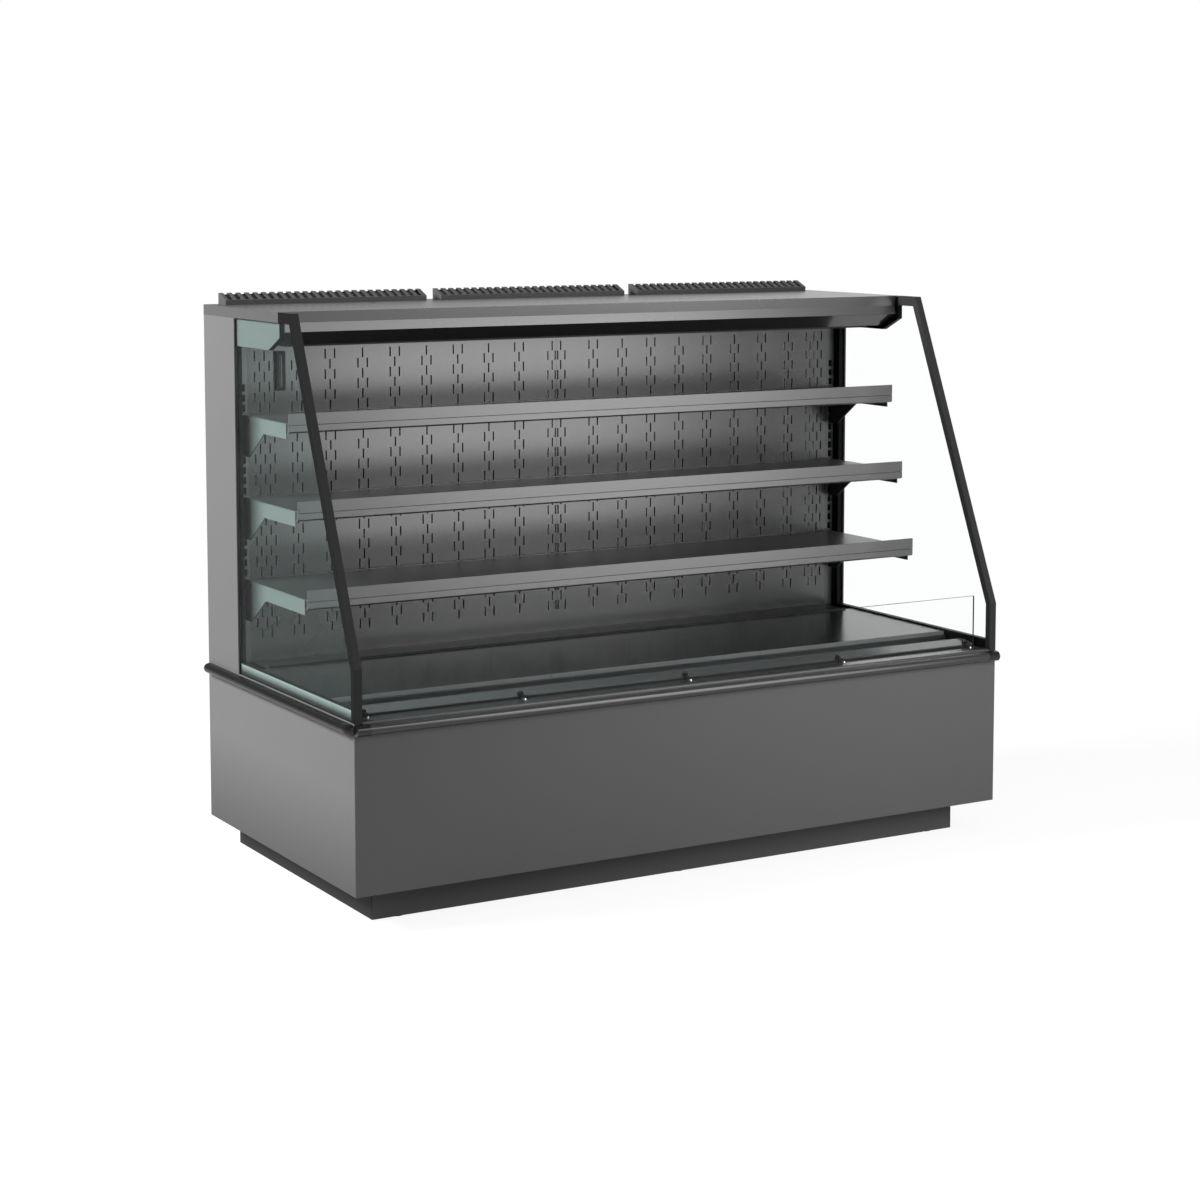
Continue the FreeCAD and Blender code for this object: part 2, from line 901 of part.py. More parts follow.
def fascia_outline():
    top = cabinet_height
    face = canopy_front + fascia_setback
    crease = face + fascia_crease_depth
    outer = [
        (face, top),
        (crease, top - fascia_crease_drop),
        (face, top - fascia_height),
    ]
    inner = [
        (face + sheet, top - fascia_height),
        (crease + sheet, top - fascia_crease_drop),
        (face + sheet, top - sheet),
    ]
    return outer, inner


def roof():
    outer, inner = fascia_outline()
    x_side = half - canopy_end_inset
    fascia_half = half - canopy_end_inset - canopy_end_thickness - fit_gap
    lap = outer[0][0] + 2 * sheet
    lap_corners = [(lap, cabinet_height - sheet), (lap, cabinet_height)]
    fascia = bar_along_x(outer + inner + lap_corners, -fascia_half, fascia_half)
    top = block(-half, half, behind(outer[0][0] + sheet), back_y, cabinet_height - sheet, cabinet_height)
    top = top.fuse(fascia)
    side = block(half - sheet, half, behind(canopy_front), back_y, roof_bottom, cabinet_height)
    shelf_piece = block(
        x_side - canopy_end_thickness,
        half,
        behind(canopy_front),
        behind(lap),
        cabinet_height - sheet,
        cabinet_height,
    )
    rear = block(-half, half, back_y - sheet, back_y, roof_bottom, cabinet_height)
    solid = top.fuse(rear)
    for piece in (side, shelf_piece):
        solid = solid.fuse(piece).fuse(mirrored(piece))
    grille_back = back_y - grille_back_gap
    for i in range(grille_count):
        x_mid = (i - (grille_count - 1) / 2) * grille_pitch
        solid = solid.cut(
            block(
                x_mid - grille_length / 2 + vent_hole_margin,
                x_mid + grille_length / 2 - vent_hole_margin,
                grille_back - grille_depth + vent_hole_margin,
                grille_back - vent_hole_margin,
                cabinet_height - sheet - overrun,
                cabinet_height + overrun,
            )
        )
    save("roof_panel", solid.removeSplitter())


def canopy():
    x_high = half - canopy_end_inset
    x_low = x_high - canopy_end_thickness
    outline = [
        (column_front, cabinet_height - sheet),
        (canopy_front, cabinet_height - sheet),
        (canopy_front, canopy_end_nose),
        (canopy_chamfer_back, canopy_end_bottom),
        (column_front, canopy_end_bottom),
    ]
    right = bar_along_x(outline, x_low, x_high)
    save("canopy_ends", mirrored(right), right)

    soffit_half = inner_half
    front = canopy_front + fascia_setback
    edge_z = cabinet_height - fascia_height - fit_gap
    fold = front + soffit_chamfer
    rear = wall_front - fit_gap
    soffit = bar_along_x(
        [
            (front, edge_z),
            (fold, soffit_z),
            (rear, soffit_z),
            (rear, soffit_z + sheet),
            (fold + sheet, soffit_z + sheet),
            (front + sheet, edge_z),
        ],
        -soffit_half,
        soffit_half,
    )
    outlet_half = half - outlet_end_gap
    outlet_low = behind(front + outlet_setback)
    outlet_high = outlet_low + outlet_depth
    soffit = soffit.cut(
        block(
            -outlet_half - fit_gap,
            outlet_half + fit_gap,
            outlet_low - fit_gap,
            outlet_high + fit_gap,
            soffit_z - overrun,
            soffit_z + overrun,
        )
    )
    lamp_half = half - lamp_end_gap
    lamp_low = front + lamp_setback
    lamp_high = lamp_low + lamp_width
    soffit = soffit.cut(
        block(
            -lamp_half - fit_gap,
            lamp_half + fit_gap,
            behind(lamp_low) - fit_gap,
            behind(lamp_high) + fit_gap,
            soffit_z - overrun,
            soffit_z + overrun,
        )
    )
    save("canopy_soffit", soffit)

    z_low = soffit_z - outlet_thickness / 2
    cell_x = 2 * outlet_half / outlet_cells
    cell_y = outlet_depth / outlet_rows
    holes = []
    for i in range(outlet_cells):
        for j in range(outlet_rows):
            holes.append(
                rectangle_xy(
                    -outlet_half + i * cell_x + outlet_bridge / 2,
                    -outlet_half + (i + 1) * cell_x - outlet_bridge / 2,
                    outlet_low + j * cell_y + outlet_bridge / 2,
                    outlet_low + (j + 1) * cell_y - outlet_bridge / 2,
                    z_low,
                )
            )
    rim = rectangle_xy(-outlet_half, outlet_half, outlet_low, outlet_high, z_low)
    save("air_outlet", holed_face(rim, holes).extrude(Vector(0, 0, outlet_thickness)))

    seat = soffit_z + sheet
    lamp = bar_along_x(
        [
            (lamp_low, seat),
            (lamp_low, soffit_z),
            (lamp_low + lamp_bulge, soffit_z - lamp_bulge),
            (lamp_high - lamp_bulge, soffit_z - lamp_bulge),
            (lamp_high, soffit_z),
            (lamp_high, seat),
            (lamp_high + lamp_flange, seat),
            (lamp_high + lamp_flange, seat + lamp_height),
            (lamp_low - lamp_flange, seat + lamp_height),
            (lamp_low - lamp_flange, seat),
        ],
        -lamp_half,
        lamp_half,
    )
    save("lamp", lamp)


def vent_grilles():
    back = body_depth - grille_back_gap
    front = back - grille_depth
    low = cabinet_height
    slope_run = grille_depth - grille_flat_top
    slope_fall = grille_height - grille_front_height
    slope = slope_fall / slope_run
    slant = grille_wall * math.hypot(1, slope)
    outer = [
        (front, low),
        (front, low + grille_front_height),
        (back - grille_flat_top, low + grille_height),
        (back, low + grille_height),
        (back, low),
    ]
    inner = [
        (front + grille_wall, low),
        (front + grille_wall, low + grille_front_height + slope * grille_wall - slant),
        (back - grille_flat_top, low + grille_height - slant),
        (back - grille_wall, low + grille_height - slant),
        (back - grille_wall, low),
    ]
    grilles = []
    for i in range(grille_count):
        x_mid = (i - (grille_count - 1) / 2) * grille_pitch
        x0 = x_mid - grille_length / 2
        x1 = x_mid + grille_length / 2
        hood = bar_along_x(outer, x0, x1).cut(bar_along_x(inner, x0 + grille_wall, x1 - grille_wall))
        step = (grille_length - grille_rib_width) / grille_ribs
        slots = []
        for k in range(grille_ribs):
            slot_low = x0 + grille_rib_width + k * step
            slots.append(
                block(
                    slot_low,
                    slot_low + step - grille_rib_width,
                    behind(front) + grille_wall,
                    behind(back) - grille_wall,
                    low + grille_front_height,
                    low + grille_height + overrun,
                )
            )
            notch_low = low + grille_height - grille_notch
            slots.append(
                block(
                    slot_low,
                    slot_low + step - grille_rib_width,
                    behind(back) - grille_flat_top,
                    behind(back) + overrun,
                    notch_low,
                    low + grille_height + overrun,
                )
            )
        grilles.append(hood.cut(Part.makeCompound(slots)))
    save("vent_grilles", *grilles)


def post_lines():
    lean_x = post_size * math.hypot(1, post_lean)
    front = -post_overhang

    def outer(z):
        return front + post_lean * (z - post_knee_z)

    inner_front = front + post_size
    inner_knee = post_knee_z + (post_size - lean_x) / post_lean
    return front, inner_front, inner_knee, outer, lean_x


def side_frames():
    front, inner_front, inner_knee, outer, lean_x = post_lines()
    top = cabinet_height
    arm_end = canopy_front - fit_gap
    outline = [
        (front, base_height),
        (front, post_knee_z),
        (outer(top), top),
        (arm_end, top),
        (arm_end, roof_bottom),
        (outer(roof_bottom) + lean_x, roof_bottom),
        (inner_front, inner_knee),
        (inner_front, base_height),
    ]
    right = bar_along_x(outline, half - post_size, half)
    save("side_frame_right", right)
    save("side_frame_left", mirrored(right))

    x_high = half - glass_inset
    x_low = x_high - glass_thickness
    gap = glass_edge_gap
    glass_top = roof_bottom - gap
    lean_gap = gap * math.hypot(1, post_lean)
    glass_rear = column_front - seal_width - gap / 2
    glass = bar_along_x(
        [
            (inner_front + gap, base_height + gap / 2),
            (inner_front + gap, inner_knee),
            (outer(glass_top) + lean_x + lean_gap, glass_top),
            (glass_rear, glass_top),
            (glass_rear, base_height + gap / 2),
        ],
        x_low,
        x_high,
    )
    save("side_glass_right", glass)
    save("side_glass_left", mirrored(glass))

    channel = block(
        half - side_thickness,
        x_low - fit_gap,
        behind(inner_front + gap),
        behind(column_front),
        base_height,
        base_height + channel_height,
    )
    seal_front = behind(column_front - seal_width)
    seal = block(x_low, x_high, seal_front, behind(column_front), base_height, roof_bottom - gap)
    save("glass_seals", mirrored(channel), channel, mirrored(seal), seal)


def finned_coil(name, x_mid, length, y_low, depth, z_low, height, fins, rows, columns):
    fin_step = length / (fins - 1)
    column_step = depth / columns
    row_step = height / rows
    centres = []
    for i in range(columns):
        for j in range(rows):
            centres.append((y_low + (i + 1 / 2) * column_step, z_low + (j + 1 / 2) * row_step))
    x0 = x_mid - length / 2
    drills = []
    for y, z in centres:
        drills.append(rod(coil_tube_radius + fit_gap, Vector(x0 - overrun, y, z), axis_x, 2 * overrun))
    fin = block(x0, x0 + coil_fin_thickness, y_low, y_low + depth, z_low, z_low + height)
    fin = fin.cut(Part.makeCompound(drills))
    solids = []
    for k in range(fins):
        copy = fin.copy()
        copy.translate(Vector(k * fin_step, 0, 0))
        solids.append(copy)
    tube_length = length + coil_fin_thickness + 2 * coil_tube_overhang
    for y, z in centres:
        solids.append(rod(coil_tube_radius, Vector(x0 - coil_tube_overhang, y, z), axis_x, tube_length))
    save(name, *solids)


def fan_rotor(name, centre, radius):
    # Hub with pitched blades; the bore turns on the motor shaft.
    hub = rod(fan_hub_radius, centre - axis_y * (fan_thickness / 2), axis_y, fan_thickness)
    solid = hub
    chord = radius * fan_chord_share
    for i in range(fan_blades):
        blade = block(
            0,
            radius,
            -fan_blade_thickness / 2,
            fan_blade_thickness / 2,
            -chord / 2,
            chord / 2,
        )
        blade.rotate(Vector(0, 0, 0), axis_x, fan_blade_pitch_deg)
        blade.rotate(Vector(0, 0, 0), axis_y, full_turn * i / fan_blades)
        blade.translate(centre)
        solid = solid.fuse(blade)
    envelope = rod(radius, centre - axis_y * (fan_thickness / 2), axis_y, fan_thickness)
    solid = solid.common(envelope)
    bore = rod(fan_shaft_radius + fan_shaft_gap, centre - axis_y * fan_thickness, axis_y, 2 * fan_thickness)
    save(name, solid.cut(bore))


def fan_motor(centre, plate_back, ring_radius):
    # Motor behind the fan, on three arms that are screwed to the plate round the fan hole.
    start = centre + axis_y * (fan_thickness / 2 + motor_standoff)
    body = rod(motor_radius, start, axis_y, motor_length)
    shaft_start = centre - axis_y * (fan_thickness / 2)
    shaft = rod(fan_shaft_radius, shaft_start, axis_y, fan_thickness + motor_length)
    solid = body.fuse(shaft)
    arm_end = start + axis_y * motor_length
    for i in range(motor_arms):
        arm = block(
            -motor_arm_width / 2,
            motor_arm_width / 2,
            start.y + motor_length - motor_arm_width,
            arm_end.y,
            0,
            ring_radius + motor_arm_reach,
        )
        leg = block(
            -motor_arm_width / 2,
            motor_arm_width / 2,
            plate_back,
            arm_end.y,
            ring_radius,
            ring_radius + motor_arm_reach,
        )
        spoke = arm.fuse(leg)
        spoke.rotate(Vector(0, 0, 0), axis_y, full_turn * i / motor_arms)
        spoke.translate(Vector(centre.x, 0, centre.z))
        solid = solid.fuse(spoke)
    return solid.removeSplitter()


def cooling():
    finned_coil(
        "evaporator_coil",
        0.0,
        coil_length,
        behind(coil_front),
        coil_depth,
        tub_floor,
        coil_height,
        coil_fins,
        coil_tube_rows,
        coil_tube_columns,
    )
    y = behind(fan_plate_depth)
    hole_radius = fan_radius + fan_tip_gap
    z_mid = tub_floor + coil_rise + hole_radius
    plate_half = inner_half - tub_wall - fit_gap
    plate = block(-plate_half, plate_half, y, y + sheet, tub_floor, fan_plate_top)
    motors = []
    for i, name in enumerate(("left", "centre", "right")):
        centre = Vector((i - 1) * fan_spread, y + sheet / 2, z_mid)
        plate = plate.cut(rod(hole_radius, centre - axis_y * overrun, axis_y, 2 * overrun))
        fan_rotor("evaporator_fan_" + name, centre, fan_radius)
        motors.append(fan_motor(centre, y + sheet, hole_radius))
    save("fan_plate", plate)
    return motors


def machinery(motors):
    floor_top = machine_floor_top
    finned_coil(
        "condenser_coil",
        condenser_x,
        condenser_width,
        behind(condenser_front),
        condenser_depth,
        floor_top,
        condenser_height,
        condenser_fins,
        condenser_tube_rows,
        condenser_tube_columns,
    )
    y = behind(condenser_front + condenser_depth) + fit_gap
    half_width = condenser_width / 2
    shroud = block(
        condenser_x - half_width,
        condenser_x + half_width,
        y,
        y + shroud_depth,
        floor_top,
        floor_top + condenser_height,
    )
    hollow = block(
        condenser_x - half_width + sheet,
        condenser_x + half_width - sheet,
        y,
        y + shroud_depth - sheet,
        floor_top + sheet,
        floor_top + condenser_height - sheet,
    )
    hole_radius = condenser_fan_radius + fan_tip_gap
    centre = Vector(condenser_x, y + shroud_depth - sheet / 2, floor_top + condenser_height / 2)
    opening = rod(hole_radius, centre - axis_y * overrun, axis_y, 2 * overrun)
    save("condenser_shroud", shroud.cut(hollow).cut(opening))
    fan_rotor("condenser_fan", centre, condenser_fan_radius)
    motors.append(fan_motor(centre, y + shroud_depth, hole_radius))
    save("fan_motors", *motors)

    middle = Vector(compressor_x, behind(compressor_depth), floor_top + mount_height)
    foot_half = compressor_foot_size / 2
    foot = block(
        middle.x - foot_half,
        middle.x + foot_half,
        middle.y - foot_half,
        middle.y + foot_half,
        middle.z,
        middle.z + compressor_foot_thickness,
    )
    can = rod(compressor_radius, middle, axis_z, compressor_body_height)
    shoulder = middle + axis_z * compressor_body_height
    dome_top = compressor_radius / 2
    dome = Part.makeCone(compressor_radius, dome_top, compressor_dome_height, shoulder, axis_z)
    save("compressor", foot.fuse(can).fuse(dome))
    mounts = []
    for dx in (-1, 1):
        for dy in (-1, 1):
            offset = foot_half - mount_inset
            base = Vector(middle.x + dx * offset, middle.y + dy * offset, floor_top)
            mounts.append(rod(mount_radius, base, axis_z, mount_height))
    save("compressor_mounts", *mounts)

    tray = block(
        tray_x - tray_width / 2,
        tray_x + tray_width / 2,
        behind(tray_front) - tray_depth / 2,
        behind(tray_front) + tray_depth / 2,
        floor_top,
        floor_top + tray_height,
    )
    basin = block(
        tray_x - tray_width / 2 + sheet,
        tray_x + tray_width / 2 - sheet,
        behind(tray_front) - tray_depth / 2 + sheet,
        behind(tray_front) + tray_depth / 2 - sheet,
        floor_top + sheet,
        floor_top + tray_height + overrun,
    )
    save("condensate_tray", tray.cut(basin))


def controls():
    y_back = back_y - sheet - fit_gap
    y_face = y_back - switch_radius
    x0 = control_x - control_width / 2
    x1 = x0 + control_width
    y_front = y_face - control_depth
    y_rear = y_face - switch_radius - fit_gap
    z_mid = switch_z
    box = block(x0, x1, y_front, y_rear, control_z, control_z + control_height)
    stand = block(x0, x1, y_front, y_front + sheet, machine_floor_top, control_z)
    solid = box.fuse(stand)
    pivot_y = y_back - switch_radius + sheet
    cheek_in = switch_length / 2 + fit_gap
    for side in (-1, 1):
        x_near = control_x + side * cheek_in
        x_far = x_near + side * switch_cheek
        cheek = block(
            min(x_near, x_far),
            max(x_near, x_far),
            y_face - switch_radius - overrun,
            y_back + sheet,
            z_mid - switch_radius,
            z_mid + switch_radius,
        )
        bore_start = Vector(min(x_near, x_far) - overrun, pivot_y, z_mid)
        bore_length = switch_cheek + 2 * overrun
        bore = rod(switch_pin_radius + fan_shaft_gap, bore_start, axis_x, bore_length)
        solid = solid.fuse(cheek.cut(bore))
    gland_start = Vector(control_x + gland_offset, y_rear, z_mid)
    gland = rod(gland_radius, gland_start, axis_y, back_y - gland_start.y)
    gland = gland.cut(rod(gland_radius / 2, gland_start, axis_y, back_y - gland_start.y))
    save("control_box", solid.removeSplitter(), gland)

    start = Vector(control_x - switch_length / 2, pivot_y, z_mid)
    rocker = rod(switch_radius - fit_gap, start, axis_x, switch_length)
    flat = block(
        start.x - overrun,
        start.x + switch_length + overrun,
        pivot_y + switch_radius / 2,
        back_y + overrun,
        z_mid,
        z_mid + switch_radius,
    )
    pin_length = switch_length + 2 * (fit_gap + switch_cheek)
    pin = rod(switch_pin_radius, start - axis_x * (fit_gap + switch_cheek), axis_x, pin_length)
    save("main_switch", rocker.cut(flat).fuse(pin))


def thermometer():
    x0 = -half + thermometer_x_gap
    y_back = behind(wall_front)
    y_front = y_back - thermometer_depth
    z_low = thermometer_top - thermometer_height
    body = block(x0, x0 + thermometer_width, y_front, y_back, z_low, thermometer_top)
    margin = (thermometer_width - thermometer_window) / 2
    window = block(
        x0 + margin,
        x0 + margin + thermometer_window,
        y_front - overrun,
        y_front + thermometer_recess,
        z_low + margin,
        thermometer_top - margin,
    )
    save("thermometer", body.cut(window))


def main():
    os.makedirs("parts", exist_ok=True)
    x_out, rails, cross = base_frame()
    levelling_feet(x_out, rails)
    kick_plates()
    machine_floor(rails, cross)
    base_sides()
    front_panel()
    rear_service_panel()
    bumpers()
    insulated_tub()
    front_sill()
    return_grille()
    deck()
    column()
    upright_edge, upright_middle = uprights()
    perforated_panels(upright_edge)
    shelves(upright_middle)
    roof()
    canopy()
    vent_grilles()
    side_frames()
    machinery(cooling())
    controls()
    thermometer()


main()
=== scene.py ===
import json
import math

import bmesh
import bpy
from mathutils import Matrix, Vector


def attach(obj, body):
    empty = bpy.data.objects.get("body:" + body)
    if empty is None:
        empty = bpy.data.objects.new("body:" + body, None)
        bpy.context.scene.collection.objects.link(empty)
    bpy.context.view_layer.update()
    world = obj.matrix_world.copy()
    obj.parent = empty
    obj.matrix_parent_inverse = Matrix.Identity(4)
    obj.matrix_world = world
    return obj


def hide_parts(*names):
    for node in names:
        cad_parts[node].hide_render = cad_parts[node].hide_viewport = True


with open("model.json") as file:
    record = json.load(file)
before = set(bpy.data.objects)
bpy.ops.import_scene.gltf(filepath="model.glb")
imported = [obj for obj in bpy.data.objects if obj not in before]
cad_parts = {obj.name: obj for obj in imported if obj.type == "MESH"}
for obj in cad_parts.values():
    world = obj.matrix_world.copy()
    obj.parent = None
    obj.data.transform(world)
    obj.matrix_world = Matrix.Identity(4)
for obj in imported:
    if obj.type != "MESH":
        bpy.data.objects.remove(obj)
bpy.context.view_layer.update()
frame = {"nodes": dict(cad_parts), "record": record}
nodes = frame["nodes"]
mm = 0.001

bodyOf = {}
for bodyName, members in frame["record"]["behaviour"]["bodies"].items():
    for member in members:
        bodyOf[member] = bodyName


# Node building, shared by the shader trees and the geometry trees

def addNode(tree, kind, inputs=None, **settings):
    node = tree.nodes.new(kind)
    for key, value in settings.items():
        setattr(node, key, value)
    for key, value in (inputs or {}).items():
        feed(tree, node.inputs[key], value)
    return node


def feed(tree, socket, value):
    if isinstance(value, bpy.types.NodeSocket):
        tree.links.new(value, socket)
    else:
        socket.default_value = value


def maths(tree, operation, first, second=0.0, clamp=False):
    node = addNode(tree, "ShaderNodeMath", {0: first, 1: second}, operation=operation, use_clamp=clamp)
    return node.outputs[0]


def addScaled(tree, base, signed, amount):
    node = addNode(tree, "ShaderNodeMath", {0: signed, 1: amount, 2: base}, operation="MULTIPLY_ADD")
    return node.outputs[0]


def remap(tree, value, fromLow, fromHigh, toLow=0.0, toHigh=1.0):
    inputs = {"Value": value, 1: fromLow, 2: fromHigh, 3: toLow, 4: toHigh}
    return addNode(tree, "ShaderNodeMapRange", inputs).outputs[0]


def mixColours(tree, factor, first, second, blend="MIX"):
    node = addNode(tree, "ShaderNodeMix", data_type="RGBA", blend_type=blend)
    feed(tree, node.inputs[0], factor)
    feed(tree, node.inputs[6], first)
    feed(tree, node.inputs[7], second)
    return node.outputs[2]


def noise(tree, vector, scale, detail=2.0, roughness=0.5):
    inputs = {"Vector": vector, "Scale": scale, "Detail": detail, "Roughness": roughness}
    return addNode(tree, "ShaderNodeTexNoise", inputs).outputs["Fac"]


def grey(level, tint=0.0):
    return (level * (1 - tint), level, level * (1 + tint), 1.0)


def effectGroup(name, inputs, outputs):
    tree = bpy.data.node_groups.new(name, "ShaderNodeTree")
    for label, kind, default in inputs:
        socket = tree.interface.new_socket(label, in_out="INPUT", socket_type=kind)
        socket.default_value = default
    for label, kind in outputs:
        tree.interface.new_socket(label, in_out="OUTPUT", socket_type=kind)
    entry = tree.nodes.new("NodeGroupInput").outputs
    outlet = tree.nodes.new("NodeGroupOutput").inputs
    return tree, entry, outlet


colourSocket = "NodeSocketColor"
numberSocket = "NodeSocketFloat"


# Effects that several finishes share

coatGrain = {
    "driftScale": 2.3, "driftDetail": 3.0, "fineDetail": 2.0, "fineRough": 0.6,
    "speckFiner": 2.7, "speckDetail": 1.0, "speckBand": (0.3, 0.7, 0.98, 1.02),
}


def makePowderCoat():
    # orange peel of a baked coat, with a slow drift of tone and gloss across a panel
    tree, entry, outlet = effectGroup(
        "powderCoat",
        [("Colour", colourSocket, grey(0.1)), ("Drift", numberSocket, 0.08),
         ("Rough", numberSocket, 0.4), ("Rough Drift", numberSocket, 0.06),
         ("Grain Scale", numberSocket, 900.0)],
        [("Colour", colourSocket), ("Roughness", numberSocket), ("Height", numberSocket)],
    )
    place = addNode(tree, "ShaderNodeTexCoord").outputs["Object"]
    drift = noise(tree, place, coatGrain["driftScale"], coatGrain["driftDetail"])
    fine = noise(tree, place, entry["Grain Scale"], coatGrain["fineDetail"], coatGrain["fineRough"])
    speckScale = maths(tree, "MULTIPLY", entry["Grain Scale"], coatGrain["speckFiner"])
    speck = noise(tree, place, speckScale, coatGrain["speckDetail"])
    signed = maths(tree, "SUBTRACT", drift, 0.5)
    level = addScaled(tree, 1.0, signed, entry["Drift"])
    speckLevel = remap(tree, speck, *coatGrain["speckBand"])
    shade = maths(tree, "MULTIPLY", level, speckLevel)
    grown = addNode(tree, "ShaderNodeVectorMath", {0: entry["Colour"]}, operation="SCALE")
    feed(tree, grown.inputs["Scale"], shade)
    feed(tree, outlet["Colour"], grown.outputs[0])
    feed(tree, outlet["Roughness"], addScaled(tree, entry["Rough"], signed, entry["Rough Drift"]))
    feed(tree, outlet["Height"], fine)
    return tree


dustLayer = {
    "scale": 9.0, "detail": 5.0, "rough": 0.65, "upBand": (0.6, 0.98), "blotchBand": (0.35, 0.75),
}


def makeDust():
    # faint dust on what faces up, thicker in blotches
    tree, entry, outlet = effectGroup(
        "restingDust",
        [("Colour", colourSocket, grey(0.1)), ("Dust", colourSocket, grey(0.4)),
         ("Amount", numberSocket, 0.1)],
        [("Colour", colourSocket)],
    )
    place = addNode(tree, "ShaderNodeTexCoord").outputs["Object"]
    facing = addNode(tree, "ShaderNodeNewGeometry").outputs["Normal"]
    up = addNode(tree, "ShaderNodeSeparateXYZ", {0: facing}).outputs["Z"]
    blotch = noise(tree, place, dustLayer["scale"], dustLayer["detail"], dustLayer["rough"])
    upMask = remap(tree, up, *dustLayer["upBand"])
    mask = maths(tree, "MULTIPLY", upMask, remap(tree, blotch, *dustLayer["blotchBand"]))
    mask = maths(tree, "MULTIPLY", mask, entry["Amount"], clamp=True)
    feed(tree, outlet["Colour"], mixColours(tree, mask, entry["Colour"], entry["Dust"]))
    return tree


sideTurn = 0.5
frontTurn = -0.3


def makeInsideMask():
    # Mask is 1 on faces that look to the middle of the case, and on front edges if Front is 1;
    # Outer is 1 on faces that look away from the middle
    tree, entry, outlet = effectGroup(
        "insideFaces", [("Front", numberSocket, 0.0)], [("Mask", numberSocket), ("Outer", numberSocket)]
    )
    place = addNode(tree, "ShaderNodeTexCoord").outputs["Object"]
    facing = addNode(tree, "ShaderNodeNewGeometry").outputs["True Normal"]
    x = addNode(tree, "ShaderNodeSeparateXYZ", {0: place}).outputs["X"]
    turned = addNode(tree, "ShaderNodeSeparateXYZ", {0: facing}).outputs
    inward = maths(tree, "MULTIPLY", maths(tree, "SIGN", x), turned["X"])
    inside = maths(tree, "LESS_THAN", inward, -sideTurn)
    front = maths(tree, "LESS_THAN", turned["Y"], frontTurn)
    front = maths(tree, "MULTIPLY", front, entry["Front"])
    feed(tree, outlet["Mask"], maths(tree, "MAXIMUM", inside, front))
    feed(tree, outlet["Outer"], maths(tree, "GREATER_THAN", inward, sideTurn))
    return tree


scuffMarks = {
    "stretch": (6.0, 6.0, 160.0), "lineScale": 4.0, "lineDetail": 6.0, "lineRough": 0.7,
    "lineBand": (0.62, 0.72), "patchScale": 5.0, "patchDetail": 3.0, "patchBand": (0.5, 0.7),
    "rougher": 0.25,
}


def makeScuffs():
    # short scratches and rubbed patches, as on what trolleys and shoes touch
    tree, entry, outlet = effectGroup(
        "rubMarks",
        [("Colour", colourSocket, grey(0.1)), ("Rub", colourSocket, grey(0.25)),
         ("Rough", numberSocket, 0.4), ("Amount", numberSocket, 0.3)],
        [("Colour", colourSocket), ("Roughness", numberSocket)],
    )
    place = addNode(tree, "ShaderNodeTexCoord").outputs["Object"]
    stretch = {"Vector": place, "Scale": scuffMarks["stretch"]}
    stretched = addNode(tree, "ShaderNodeMapping", stretch).outputs[0]
    scale, detail, rough = (scuffMarks[key] for key in ("lineScale", "lineDetail", "lineRough"))
    lines = remap(tree, noise(tree, stretched, scale, detail, rough), *scuffMarks["lineBand"])
    patches = noise(tree, place, scuffMarks["patchScale"], scuffMarks["patchDetail"])
    patches = remap(tree, patches, *scuffMarks["patchBand"])
    mask = maths(tree, "MULTIPLY", maths(tree, "MULTIPLY", lines, patches), entry["Amount"], clamp=True)
    feed(tree, outlet["Colour"], mixColours(tree, mask, entry["Colour"], entry["Rub"]))
    feed(tree, outlet["Roughness"], addScaled(tree, entry["Rough"], mask, scuffMarks["rougher"]))
    return tree


effects = {
    "coat": makePowderCoat(),
    "dust": makeDust(),
    "inside": makeInsideMask(),
    "rub": makeScuffs(),
}
print("effects:", ", ".join(effects))


def placeEffect(tree, name, inputs=None):
    node = addNode(tree, "ShaderNodeGroup", node_tree=effects[name])
    for key, value in (inputs or {}).items():
        feed(tree, node.inputs[key], value)
    return node.outputs


def startMaterial(name):
    material = bpy.data.materials.new(name)
    material.use_nodes = True
    tree = material.node_tree
    tree.nodes.clear()
    surface = addNode(tree, "ShaderNodeBsdfPrincipled")
    output = addNode(tree, "ShaderNodeOutputMaterial", {"Surface": surface.outputs[0]})
    return material, tree, surface, output


def addBump(tree, surface, height, strength, distance):
    inputs = {"Height": height, "Strength": strength, "Distance": distance}
    feed(tree, surface.inputs["Normal"], addNode(tree, "ShaderNodeBump", inputs).outputs[0])


# Finishes

paintedNoseLightBand = (-0.3, -0.8)
plainShine = 0.5


